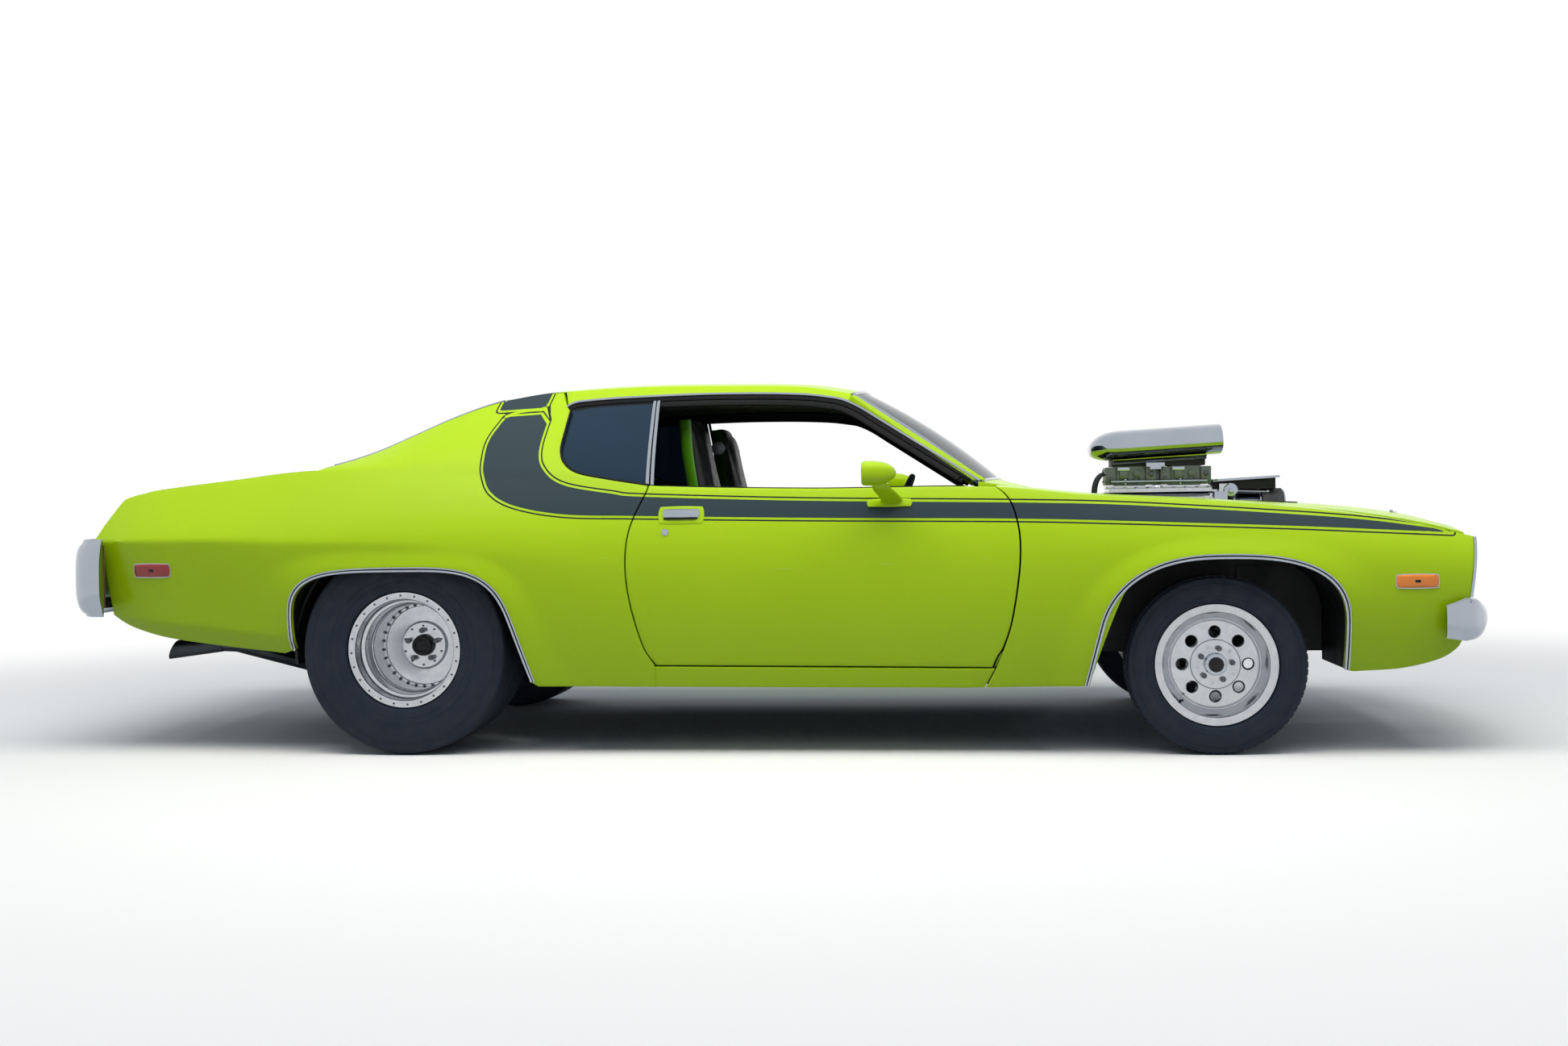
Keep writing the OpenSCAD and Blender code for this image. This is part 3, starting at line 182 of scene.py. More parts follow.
@dataclass(frozen=True)
class StripedEnamel(Finish):
    """Lime enamel with the slate vinyl stripe, its pinstripes, and a few old scuffs in the lacquer.

    The piece carries two attributes in metres: "stripe", the signed distance to the stripe's edge, and
    "scuff", the distance to the nearest scuff line.
    """

    vinyl: str = "#24363f"
    pin: str = "#161c1c"
    scuff: str = "#c3dc8c"
    gap_mm: float = 8.0
    pin_mm: float = 5.5
    scuff_mm: float = 1.5

    def base_colour(self, tree: bpy.types.NodeTree, fac: bpy.types.NodeSocket) -> bpy.types.NodeSocket:
        """Lay the stripe, pinstripes and scuffs over the enamel.

        Args:
            tree: The material's tree.
            fac: The mottling, from 0 to 1.

        Returns:
            The colour socket.
        """
        colour = super().base_colour(tree, fac)
        edge = add(tree, "ShaderNodeAttribute", attribute_name="stripe").outputs["Fac"]
        inside = add(tree, "ShaderNodeMath", {0: edge, 1: 0.0}, operation="LESS_THAN").outputs[0]
        middle = (self.gap_mm + self.pin_mm / 2) * MM
        line = add(tree, "ShaderNodeMath", {0: edge, 1: middle, 2: self.pin_mm / 2 * MM},
                   operation="COMPARE").outputs[0]
        mark = add(tree, "ShaderNodeAttribute", attribute_name="scuff").outputs["Fac"]
        broken = add(tree, "ShaderNodeMath", {0: fac, 1: self.scuff_mm * 2 * MM}, operation="MULTIPLY").outputs[0]
        worn = add(tree, "ShaderNodeMath", {0: mark, 1: broken}, operation="LESS_THAN").outputs[0]
        soft = add(tree, "ShaderNodeMath", {0: worn, 1: 0.28}, operation="MULTIPLY").outputs[0]
        for share, code in ((soft, self.scuff), (inside, self.vinyl), (line, self.pin)):
            mix = add(tree, "ShaderNodeMix", data_type="RGBA")
            tree.links.new(share, mix.inputs["Factor"])
            first, second = [s for s in mix.inputs if s.type == "RGBA"]
            tree.links.new(colour, first)
            second.default_value = linear(code)
            colour = [s for s in mix.outputs if s.type == "RGBA"][0]
        return colour


class Paint:
    """The car's finishes. Each comment says what the real surface gives the eye."""

    # Two-layer enamel: saturated lime under a thin clear coat, slightly uneven from polishing.
    LIME = Finish("lime_enamel", "#a9d000", "#a2c900", 400, 0.3, 0.03, coat=0.12, specular=0.25)
    STRIPED = StripedEnamel("lime_enamel_with_vinyl_stripe", "#a9d000", "#a2c900", 400, 0.3, 0.03, coat=0.12,
                            specular=0.25)
    # Sprayed stone-guard black: satin, with a fine orange-peel grain.
    SATIN = Finish("satin_black_stone_guard", "#121416", "#1a1c1f", 90, 0.5, 0.1, bump=0.25, bump_mm=3,
                   specular=0.3)
    # Chromium plate on steel: a near mirror with a trace of haze in its gloss. Its colour is darkened and blued,
    # with darker mottled patches, as painted reflections of sky and dark surroundings.
    CHROME = Finish("chromium_plate_with_painted_reflections", "#adb4bd", "#9ca4af", 120, 0.06, 0.03, 1.0)
    # Turned and polished aluminium: softer than chrome.
    POLISHED = Finish("polished_aluminium", "#c6c9cd", "#aeb2b8", 25, 0.16, 0.06, 1.0)
    # Sand-cast aluminium: dull, with a granular skin.
    CAST = Finish("cast_aluminium", "#8f9499", "#797e83", 30, 0.42, 0.1, 1.0, bump=0.3, bump_mm=1.5)
    # Zinc with yellow-green dichromate, as on carburettor bodies.
    DICHROMATE = Finish("zinc_dichromate", "#59655f", "#6a7167", 22, 0.4, 0.1, 0.85, bump=0.3, bump_mm=1.5)
    # Blued steel of bolts and hubs.
    STEEL = Finish("oiled_steel", "#5c6166", "#474b50", 20, 0.35, 0.1, 1.0)
    # Carbon-black rubber with a blue-grey cast that is a painted reflection of sky, its tone mottled at random.
    TYRE = Finish("tyre_rubber_with_painted_sky", "#121a26", "#1c2737", 45, 0.7, 0.1, bump=0.2, bump_mm=2, specular=0.35)
    # Extruded door and window rubber.
    RUBBER = Finish("weatherstrip_rubber", "#0c0d0e", "#131415", 20, 0.6, 0.1, specular=0.3)
    # Laminated glass with a green-grey cast.
    GLASS = Finish("windshield_glass", "#4b5f68", "#445963", 300, 0.03, 0.01, transmission=0.85, ior=1.08,
                   specular=0.2)
    # Quarter and rear glass under a blue-black film.
    TINT = Finish("tinted_glass", "#17364f", "#122d44", 300, 0.06, 0.03, transmission=0.25, ior=1.45, specular=0.2)
    # Pressed acrylic lenses.
    AMBER = Finish("amber_acrylic", "#f08a06", "#e67a02", 30, 0.18, 0.05, coat=0.4)
    RED = Finish("red_acrylic", "#a8060c", "#8e0408", 30, 0.18, 0.05, coat=0.4)
    CLEAR = Finish("lamp_glass", "#e8eef0", "#dfe6e8", 60, 0.05, 0.02, transmission=0.7, coat=0.4)
    # Embossed vinyl of seats and trim.
    VINYL = Finish("black_vinyl", "#141516", "#1b1c1d", 25, 0.45, 0.08, bump=0.35, bump_mm=1.6, specular=0.35)
    # Woven headliner and looped carpet: dull, with a soft sheen.
    CLOTH = Finish("woven_headliner", "#1b1c1f", "#232427", 12, 0.9, 0.05, bump=0.5, bump_mm=2.5, sheen=0.3)
    # Hand-brushed green on the seat shells.
    SHELL = Finish("brushed_green_enamel", "#4f8f12", "#3f7a0c", 60, 0.4, 0.08, coat=0.3)
    # Toothed belt rubber with its cloth face.
    BELT = Finish("toothed_belt", "#3d4043", "#313437", 18, 0.75, 0.08, bump=0.3, bump_mm=1.5)
    # Rust-browned inner face of the bumper bar.
    PRIMER = Finish("brown_primer", "#6b4a36", "#553a2a", 40, 0.7, 0.1, bump=0.2, bump_mm=2)
    # Mill-finish steel pipe, greyed by heat.
    PIPE = Finish("heat_greyed_pipe", "#3f444a", "#2f3338", 40, 0.4, 0.1, 1.0, bump=0.1, bump_mm=2)


def spaced(points: Sequence, count: int) -> Array:
    """Points evenly spaced along a line.

    Args:
        points: The line's points.
        count: Steps along it.

    Returns:
        count + 1 points.
    """
    p = np.asarray(points, float)
    run = np.concatenate([[0.0], np.cumsum(np.linalg.norm(np.diff(p, axis=0), axis=1))])
    at = np.linspace(0, run[-1], count + 1)
    return np.stack([np.interp(at, run, p[:, k]) for k in range(p.shape[1])], axis=1)


def curve(points: Sequence, count: int = 8, closed: bool = False) -> Array:
    """A smooth curve through points.

    Args:
        points: The points it passes.
        count: Steps between two of them.
        closed: Whether it runs back to its start.

    Returns:
        The curve's points.
    """
    p = np.asarray(points, float)
    n = len(p)
    out = []
    for i in range(n if closed else n - 1):
        a, b = p[i], p[(i + 1) % n]
        before = p[i - 1] if closed or i > 0 else a
        after = p[(i + 2) % n] if closed or i < n - 2 else b
        ta = (b - before) / (2 if closed or i > 0 else 1)
        tb = (after - a) / (2 if closed or i < n - 2 else 1)
        for u in np.arange(count) / count:
            out.append(a + u * (ta + u * (3 * (b - a) - 2 * ta - tb + u * (2 * (a - b) + ta + tb))))
    if not closed:
        out.append(p[-1])
    return np.array(out)


def patch(bottom: Array, top: Array, first: Array, last: Array) -> Array:
    """Fill four edges with a grid of points.

    Args:
        bottom: Points along the lower edge.
        top: As many along the upper edge.
        first: Points up the edge that joins their starts.
        last: As many up the edge that joins their ends.

    Returns:
        The grid, edge points by side points.
    """
    s = np.linspace(0, 1, len(bottom))[:, None, None]
    v = np.linspace(0, 1, len(first))[None, :, None]
    across = bottom[:, None] * (1 - v) + top[:, None] * v
    along = first[None] * (1 - s) + last[None] * s
    low = bottom[0] * (1 - s) + bottom[-1] * s
    high = top[0] * (1 - s) + top[-1] * s
    return across + along - (low * (1 - v) + high * v)


def ease(a: float, b: float, x: Array) -> Array:
    """A smooth step from 0 at a to 1 at b."""
    u = np.clip((np.asarray(x, float) - a) / (b - a), 0, 1)
    return u * u * (3 - 2 * u)


class Col(Enum):
    """Columns of the body table."""

    Z_LOW = 1
    Y_LOW = 2
    Z_WIDE = 3
    Y_WIDE = 4
    Z_BELT = 5
    Y_BELT = 6
    P_LOW = 7
    P_UP = 8


@dataclass
class BodyLines:
    """The car's surfaces, as the part's source has them."""

    body: Array = field(default_factory=lambda: np.array([
        [-2500, 545, 838, 797, 900, 955, 800, 1.1, 1.08], [-2300, 470, 882, 798, 945, 987, 815, 1.1, 1.08],
        [-2000, 405, 902, 798, 967, 1020, 825, 1.15, 1.1], [-1700, 375, 912, 785, 977, 1050, 828, 1.4, 1.2],
        [-1300, 300, 918, 772, 985, 1048, 850, 1.7, 1.4], [-900, 255, 920, 715, 982, 1014, 868, 2, 1.8],
        [-400, 248, 915, 650, 970, 975, 888, 2, 2.1], [200, 243, 910, 625, 962, 955, 893, 2, 2.3],
        [850, 239, 910, 615, 966, 951, 893, 2, 2.4], [1200, 235, 915, 608, 978, 916, 902, 2, 2.5],
        [1640, 235, 915, 600, 984, 888, 902, 2, 2.6], [2050, 290, 903, 590, 968, 845, 888, 2, 2.6],
        [2300, 312, 888, 582, 944, 803, 874, 2, 2.6], [2510, 395, 866, 572, 912, 752, 858, 2, 2.6]]))
    roof_line: Array = field(default_factory=lambda: np.array([
        [-1700, 1050, 828, 22], [-1585, 1074, 800, 24], [-1455, 1118, 752, 28], [-1326, 1177, 710, 30],
        [-1198, 1237, 672, 32], [-1070, 1287, 636, 34], [-975, 1314, 612, 35], [-815, 1339, 587, 36],
        [-465, 1356, 572, 36], [-150, 1354, 570, 36], [161, 1343, 570, 36], [316, 1318, 572, 34],
        [420, 1296, 574, 30]], float))
    drip_line: Array = field(default_factory=lambda: np.array([
        [-800, 1268], [-692, 1299], [-442, 1314], [-133, 1319], [172, 1309], [323, 1284], [380, 1262]], float))
    hood_rise: Array = field(default_factory=lambda: np.array([
        [900, 0], [982, -10], [1060, -29], [1200, -32], [1330, -25], [1500, -17], [1750, -9], [1950, 0], [2100, 12],
        [2330, 30], [2440, 36], [2545, 26]], float))
    front_arch: tuple = (FRONT_AXLE + 14, 444, 245, 347, 2.5, 0.181, 412, 2.8, 0)
    rear_arch: tuple = (REAR_AXLE + 5, 430, 245, 422, 4, 0, 341, 4, 0.233)
    arch_swell: float = 13
    door_front: Array = field(default_factory=lambda: np.array([
        [819, 241], [856, 312], [880, 370], [915, 478], [943, 648], [947, 775], [929, 868], [904, 918],
        [868, 950]], float))
    door_rear: Array = field(default_factory=lambda: np.array([
        [-358, 325], [-393, 378], [-421, 459], [-448, 575], [-459, 691], [-451, 793], [-429, 865], [-393, 945],
        [-384, 974]], float))
    skin: float = 22
    lid_depth: float = 20
    door_depth: float = 90
    pillar_depth: float = 58
    gap: float = 6
    join_gap: float = 2.5
    hood_line: float = 780
    fender_lip: float = 45
    cowl_edge: float = 982
    hinge_x: float = 869

    @staticmethod
    def col(table: Array, x: Array, c: int) -> Array:
        """Smooth value of one column of a table.

        Args:
            table: Rows that start with x.
            x: Where to read it.
            c: The column.

        Returns:
            Values at x.
        """
        x = np.asarray(x, float)
        xs, v = table[:, 0], table[:, c]
        i = np.clip(np.searchsorted(xs, x, side="right") - 1, 0, len(xs) - 2)
        lo, hi = np.maximum(i - 1, 0), np.minimum(i + 2, len(xs) - 1)
        h = xs[i + 1] - xs[i]
        u = np.clip((x - xs[i]) / h, 0, 1)
        p = (v[i + 1] - v[lo]) / (xs[i + 1] - xs[lo]) * h
        q = (v[hi] - v[i]) / (xs[hi] - xs[i]) * h
        a, b = v[i], v[i + 1]
        return a + u * (p + u * (3 * (b - a) - 2 * p - q + u * (2 * (a - b) + p + q)))

    def at(self, x: Array, c: Col) -> Array:
        """Value of the body table."""
        return self.col(self.body, x, c.value)

    @staticmethod
    def sill_top(x: Array) -> Array:
        """Height of the line between door and sill."""
        return 325 - 13 * (x + 358) / 1214

    def swell(self, x: Array, z: Array) -> Array:
        """Outward swell of the skin round the nearest arch.

        Args:
            x: Places along the car.
            z: Heights.

        Returns:
            The swell at each.
        """
        out = np.zeros(np.broadcast(x, z).shape)
        for arch, here in ((self.front_arch, x > 400), (self.rear_arch, x <= 400)):
            dx, dz = x - arch[0], z - arch[1]
            back = dx < 0
            reach = np.where(back, arch[3], arch[6]) * (1 + np.where(back, arch[5], arch[8]) * (1 - dz / arch[2]))
            n = np.where(back, arch[4], arch[7])
            rho = ((np.abs(dx) / reach) ** n + (np.maximum(dz, 0) / arch[2]) ** n) ** (1 / n)
            u = np.clip(1 - np.maximum(rho - 1, 0) / 0.34, 0, 1)
            out = np.where(here, self.arch_swell * u * u * (3 - 2 * u), out)
        return out

    def edge_z(self, x: Array) -> Array:
        """Height of the edge line: deck, sail and roof, then fender."""
        x = np.asarray(x, float)
        return np.where((x < -1640) | (x > 400), self.at(x, Col.Z_BELT), self.col(self.roof_line, x, 1))

    def edge_y(self, x: Array) -> Array:
        """Half-width at the edge line."""
        x = np.asarray(x, float)
        return np.where((x < -1640) | (x > 400), self.at(x, Col.Y_BELT), self.col(self.roof_line, x, 2))

    def crown(self, x: Array) -> Array:
        """How far the middle stands above the edge line.

        Args:
            x: Places along the car.

        Returns:
            The rise at each.
        """
        x = np.asarray(x, float)
        nose = 34 + (22 - 34) * (x - 900) / 1600
        return np.where(x < -1640, 20, np.where(x > 400, nose, self.col(self.roof_line, x, 3)))

    def side_y(self, x: Array, z: Array) -> Array:
        """Half-width of the body at a place along it and a height.

        Args:
            x: Places along the car.
            z: Heights.

        Returns:
            Half-widths.
        """
        x, z = np.broadcast_arrays(np.asarray(x, float), np.asarray(z, float))
        zw, yw = self.at(x, Col.Z_WIDE), self.at(x, Col.Y_WIDE)
        zb, yb = self.at(x, Col.Z_BELT), self.at(x, Col.Y_BELT)
        zl, yl = self.at(x, Col.Z_LOW), self.at(x, Col.Y_LOW)
        ze, ye = self.edge_z(x), self.edge_y(x)
        low = yw - (yw - yl) * (np.maximum(zw - z, 0) / (zw - zl)) ** self.at(x, Col.P_LOW) + self.swell(x, z)
        low = low - np.where(x < -1600, 0.5 * np.maximum(0, 438 - 0.1105 * (x + 1760) - z), 0)
        up = yw - (yw - yb) * np.clip((z - zw) / (zb - zw), 0, 1) ** self.at(x, Col.P_UP) + self.swell(x, z)
        tall = np.maximum(ze - zb, 3)
        sail = np.where(ze - zb < 3, yb, yb - (yb - ye) * np.clip((z - zb) / tall, 0, 1) ** 1.2)
        return np.where(z <= zw, low, np.where(z <= zb, up, sail))

    def top_z(self, x: Array, y: Array) -> Array:
        """Height of the hood, roof, rear window or deck at a place."""
        return self.edge_z(x) + self.crown(x) * (1 - (np.abs(y) / self.edge_y(x)) ** 2.2)

    def hood_z(self, x: Array, y: Array) -> Array:
        """Height of the hood, whose middle lies low behind and full in front."""
        return self.top_z(x, y) + self.col(self.hood_rise, x, 1) * (1 - (np.abs(y) / self.edge_y(x)) ** 2.2)

    def drip(self, x: Array) -> Array:
        """Height of the drip rail."""
        return self.col(self.drip_line, x, 1)

    @staticmethod
    def arch_line(arch: tuple, z_back: float, z_front: float, step: float = 2.5) -> Array:
        """The edge of an arch from its back foot to its front foot.

        Args:
            arch: Centre, rise, then reach, squareness and spread of both halves.
            z_back: Height of the back foot.
            z_front: Height of the front foot.
            step: Degrees between points.

        Returns:
            Points as x and z.
        """
        out = [[arch[0] - arch[3] * (1 + arch[5] * (1 - (z - arch[1]) / arch[2])), z]
               for z in (z_back, (z_back + arch[1]) / 2)]
        for g in np.radians(np.arange(180, -step / 2, -step)):
            k = 3 if math.cos(g) < 0 else 6
            dz = arch[2] * abs(math.sin(g)) ** (2 / arch[k + 1])
            u = arch[k] * abs(math.cos(g)) ** (2 / arch[k + 1])
            out.append([arch[0] + math.copysign(u, math.cos(g)) * (1 + arch[k + 2] * (1 - dz / arch[2])),
                        arch[1] + dz])
        out += [[arch[0] + arch[6] * (1 + arch[8] * (1 - (z - arch[1]) / arch[2])), z]
                for z in ((z_front + arch[1]) / 2, z_front)]
        return np.array(out)

    def on_side(self, line: Array, lift: float = 0) -> Array:
        """Lay a line or grid of x and z on the left side, lifted outward.

        Args:
            line: Pairs of x and z.
            lift: How far outward.

        Returns:
            The points on the side.
        """
        line = np.asarray(line, float)
        y = self.side_y(line[..., 0], line[..., 1]) + lift
        return np.stack([line[..., 0], y, line[..., 1]], axis=-1)


LINES = BodyLines()


class Clay:
    """Gathers the points and faces of one piece, in millimetres."""

    def __init__(self) -> None:
        """Start with nothing."""
        self.points: list[Array] = []
        self.faces: list[list[int]] = []
        self.slots: list[int] = []
        self.count = 0

    def take(self, points: Array, faces: Iterable[Sequence[int]], slot: int = 0) -> "Clay":
        """Add points and the faces between them.

        Args:
            points: New points.
            faces: Faces as numbers into them.
            slot: Material number.

        Returns:
            This object.
        """
        points = np.asarray(points, float).reshape(-1, 3)
        for f in faces:
            self.faces.append([i + self.count for i in f])
            self.slots.append(slot)
        self.points.append(points)
        self.count += len(points)
        return self

    def shell(self, outer: Array, inner: Array, slots: tuple = (0, 1, 0), keep: Optional[Array] = None) -> "Clay":
        """Add a closed thick panel from an outer and an inner grid.

        Args:
            outer: Grid of points.
            inner: Grid behind it.
            slots: Material numbers of outside, inside and rim.
            keep: Cells that are there; the rest are holes.

        Returns:
            This object.
        """
        n, m = outer.shape[:2]
        keep = np.ones((n - 1, m - 1), bool) if keep is None else keep
        base = self.count
        back = n * m
        self.points += [outer.reshape(-1, 3), inner.reshape(-1, 3)]
        self.count += 2 * back

        def put(face: list[int], slot: int) -> None:
            """Add one face."""
            self.faces.append([base + i for i in face])
            self.slots.append(slot)

        for i in range(n - 1):
            for j in range(m - 1):
                if not keep[i, j]:
                    continue
                a, b, c, d = i * m + j, (i + 1) * m + j, (i + 1) * m + j + 1, i * m + j + 1
                put([a, b, c, d], slots[0])
                put([back + d, back + c, back + b, back + a], slots[1])
                for p, q, ii, jj in ((b, a, i, j - 1), (d, c, i, j + 1), (a, d, i - 1, j), (c, b, i + 1, j)):
                    if not (0 <= ii < n - 1 and 0 <= jj < m - 1 and keep[ii, jj]):
                        put([p, q, back + q, back + p], slots[2])
        return self

    def rings(self, loops: Sequence[Array], slot: int = 0, closed: bool = False) -> "Clay":
        """Skin a row of closed loops, with its ends filled.

        Args:
            loops: Loops of equally many points.
            slot: Material number.
            closed: Whether the last loop joins the first.

        Returns:
            This object.
        """
        n, m = len(loops), len(loops[0])
        faces = []
        for i in range(n if closed else n - 1):
            for j in range(m):
                a, b = i * m, (i + 1) % n * m
                faces.append([a + j, a + (j + 1) % m, b + (j + 1) % m, b + j])
        if not closed:
            faces += [list(range(m - 1, -1, -1)), [(n - 1) * m + j for j in range(m)]]
        return self.take(np.concatenate(loops), faces, slot)

    def lathe(self, profile: Sequence, place: Callable[[Array], Array], steps: int = 128, slot: int = 0) -> "Clay":
        """Turn a closed profile about its axis.

        Args:
            profile: Points as radius and height along the axis.
            place: Carries local points, axis +Z, to the car.
            steps: Faces round it.
            slot: Material number.

        Returns:
            This object.
        """
        p = np.asarray(profile, float)
        loops = []
        for g in np.arange(steps) * 2 * math.pi / steps:
            loops.append(place(np.stack([p[:, 0] * math.cos(g), p[:, 0] * math.sin(g), p[:, 1]], axis=1)))
        return self.rings(loops, slot, closed=True)

    def sweep(self, path: Array, section: Array, out: Sequence, slot: int = 0, closed: bool = False,
              size: Optional[Array] = None) -> "Clay":
        """Carry a closed section along a path.

        Args:
            path: Points of the path.
            section: Closed section as sideways and outward pairs.
            out: Outward direction, one or one for each point.
            slot: Material number.
            closed: Whether the path is a loop.
            size: Scale of the section at each point.

        Returns:
            This object.
        """
        path = np.asarray(path, float)
        ahead = np.roll(path, -1, 0) - np.roll(path, 1, 0)
        if not closed:
            ahead[0], ahead[-1] = path[1] - path[0], path[-1] - path[-2]
        ahead /= np.linalg.norm(ahead, axis=1)[:, None]
        out = np.broadcast_to(np.asarray(out, float), path.shape)
        side = np.cross(ahead, out)
        side /= np.linalg.norm(side, axis=1)[:, None]
        up = np.cross(side, ahead)
        scale = np.ones(len(path)) if size is None else size
        loops = [path[i] + scale[i] * (section[:, :1] * side[i] + section[:, 1:] * up[i]) for i in range(len(path))]
        return self.rings(loops, slot, closed)

    def box(self, low: Sequence, high: Sequence, slot: int = 0) -> "Clay":
        """Add a plain block between two corners.

        Args:
            low: Its low corner.
            high: Its high corner.
            slot: Material number.

        Returns:
            This object.
        """
        (x0, y0, z0), (x1, y1, z1) = low, high
        loops = [np.array([[x, y0, z0], [x, y1, z0], [x, y1, z1], [x, y0, z1]]) for x in (x0, x1)]
        return self.rings(loops, slot)

    def rod(self, start: Sequence, end: Sequence, radius: float, slot: int = 0, sides: int = 32,
            end_radius: Optional[float] = None) -> "Clay":
        """Add a round rod or cone between two points.

        Args:
            start: Middle of one end.
            end: Middle of the other.
            radius: Radius at the start.
            slot: Material number.
            sides: Faces round it.
            end_radius: Radius at the end, if another.

        Returns:
            This object.
        """
        a, b = np.asarray(start, float), np.asarray(end, float)
        t = (b - a) / np.linalg.norm(b - a)
        u = np.cross(t, [0, 0, 1] if abs(t[2]) < 0.9 else [1, 0, 0])
        u /= np.linalg.norm(u)
        v = np.cross(t, u)
        g = np.arange(sides) * 2 * math.pi / sides
        ring = np.cos(g)[:, None] * u + np.sin(g)[:, None] * v
        return self.rings([a + radius * ring, b + (radius if end_radius is None else end_radius) * ring], slot)

    def mesh(self, source: bpy.types.Mesh, place: Callable[[Array], Array], slot: int = 0) -> "Clay":
        """Add a mesh made elsewhere, in millimetres, carried to its place."""
        points = np.array([v.co[:] for v in source.vertices])
        return self.take(place(points), [list(p.vertices) for p in source.polygons], slot)

    def mirrored(self, side: float) -> "Clay":
        """The same piece, or its mirror image for the right side.

        Args:
            side: 1 for left, -1 for right.

        Returns:
            A new piece that shares the faces.
        """
        other = Clay()
        other.points = [p * [1, side, 1] for p in self.points]
        other.faces, other.slots, other.count = self.faces, self.slots, self.count
        return other

    def piece(self, name: str, finishes: Sequence[Finish], bevel: float = 0, sharp: float = 35) -> bpy.types.Object:
        """Make the object, with outward faces and smooth shading up to sharp edges.

        Args:
            name: Name of the piece.
            finishes: Its finishes, in the order of the material numbers.
            bevel: Width of rounded edges.
            sharp: Angle in degrees from which an edge stays sharp.

        Returns:
            The object, at the origin.
        """
        mesh = bpy.data.meshes.new(name)
        mesh.from_pydata((np.concatenate(self.points) * MM).tolist(), [], self.faces)
        for finish in finishes:
            mesh.materials.append(finish.material())
        mesh.polygons.foreach_set("material_index", self.slots)
        tidy = bmesh.new()
        tidy.from_mesh(mesh)
        bmesh.ops.remove_doubles(tidy, verts=tidy.verts, dist=1e-6)
        bmesh.ops.recalc_face_normals(tidy, faces=tidy.faces)
        tidy.to_mesh(mesh)
        tidy.free()
        obj = bpy.data.objects.new(name, mesh)
        bpy.context.scene.collection.objects.link(obj)
        if bevel:
            edge = obj.modifiers.new("rounded_edges", "BEVEL")
            edge.width, edge.segments, edge.limit_method = bevel * MM, 2, "ANGLE"
            edge.angle_limit = math.radians(50)
            bake(obj)
        obj.data.polygons.foreach_set("use_smooth", [True] * len(obj.data.polygons))
        obj.data.set_sharp_from_angle(angle=math.radians(sharp))
        return obj


def bake(obj: bpy.types.Object) -> None:
    """Turn an object's modifiers into its plain mesh.

    Args:
        obj: The object, changed in place.
    """
    graph = bpy.context.evaluated_depsgraph_get()
    graph.update()
    mesh = bpy.data.meshes.new_from_object(obj.evaluated_get(graph), preserve_all_data_layers=True, depsgraph=graph)
    obj.modifiers.clear()
    obj.data = mesh


def dress(obj: bpy.types.Object, body: str, slot: str, *nodes: str) -> bpy.types.Object:
    """Tie a piece to its body and to the CAD nodes that it stands for.

    Args:
        obj: The piece.
        body: The body it rides on.
        slot: Name of a material slot; not used.
        nodes: CAD nodes that it replaces.

    Returns:
        The piece.
    """
    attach(obj, body)
    if nodes:
        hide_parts(*nodes)
    LOG.info("%s on %s: %d faces", obj.name, body, len(obj.data.polygons))
    return obj


def swell(obj: bpy.types.Object, voxel: float, cap: float, seams: tuple) -> None:
    """Swell a closed pad with cloth under pressure, then press its sewn channels and smooth it.

    Args:
        obj: The pad, slightly smaller than the finished one.
        voxel: Cell of its even mesh, in millimetres.
        cap: Most that a point may move, in millimetres.
        seams: Places of the channels across the car, in millimetres.
    """
    def points() -> Array:
        """The mesh's points.

        Returns:
            The points as rows.
        """
        flat = np.empty(len(obj.data.vertices) * 3)
        obj.data.vertices.foreach_get("co", flat)
        return flat.reshape(-1, 3)

    even = obj.modifiers.new("even", "REMESH")
    even.mode, even.voxel_size = "VOXEL", voxel * MM
    bake(obj)
    start = points()
    cloth = obj.modifiers.new("swell", "CLOTH")
    cloth.settings.use_pressure = True
    cloth.settings.uniform_pressure_force = 4.0
    cloth.settings.effector_weights.gravity = 0.0
    for step in range(1, 21):
        bpy.context.scene.frame_set(step)
    bake(obj)
    bpy.context.scene.frame_set(1)
    move = points() - start
    far = np.maximum(np.linalg.norm(move, axis=1), 1e-9)
    inward = np.array([v.normal[:] for v in obj.data.vertices])
    groove = sum(5 * MM * np.exp(-(((start[:, 1] / MM - y) / 8) ** 2)) for y in seams)
    shape = start + move * np.minimum(1, cap * MM / far)[:, None] - inward * groove[:, None]
    obj.data.vertices.foreach_set("co", shape.ravel())
    smooth = obj.modifiers.new("smooth", "SUBSURF")
    smooth.levels = smooth.render_levels = 1
    bake(obj)


def superellipse(half_a: float, half_b: float, power: float, count: int = 48) -> Array:
    """A closed superellipse as pairs.

    Args:
        half_a: Half its width.
        half_b: Half its height.
        power: Its power; 2 is an ellipse, more is squarer.
        count: How many points.

    Returns:
        The points.
    """
    g = np.arange(count) * 2 * math.pi / count
    c, s = np.cos(g), np.sin(g)
    return np.stack([half_a * np.sign(c) * np.abs(c) ** (2 / power),
                     half_b * np.sign(s) * np.abs(s) ** (2 / power)], axis=1)


def fillet(points: Sequence, radius: float, steps: int = 4) -> Array:
    """Round the corners of a closed profile.

    Args:
        points: Its corners.
        radius: How far from a corner its rounding starts, at most.
        steps: Points on each rounding.

    Returns:
        The rounded profile.
    """
    p = np.asarray(points, float)
    out = []
    for i in range(len(p)):
        a, b, c = p[i - 1], p[i], p[(i + 1) % len(p)]
        before, after = a - b, c - b
        r = min(radius, 0.4 * np.linalg.norm(before), 0.4 * np.linalg.norm(after))
        if b[0] < 1e-6 or r < 0.05:
            out.append(b)
            continue
        s, e = b + before / np.linalg.norm(before) * r, b + after / np.linalg.norm(after) * r
        for u in np.linspace(0, 1, steps):
            out.append((1 - u) ** 2 * s + 2 * u * (1 - u) * b + u * u * e)
    return np.array(out)


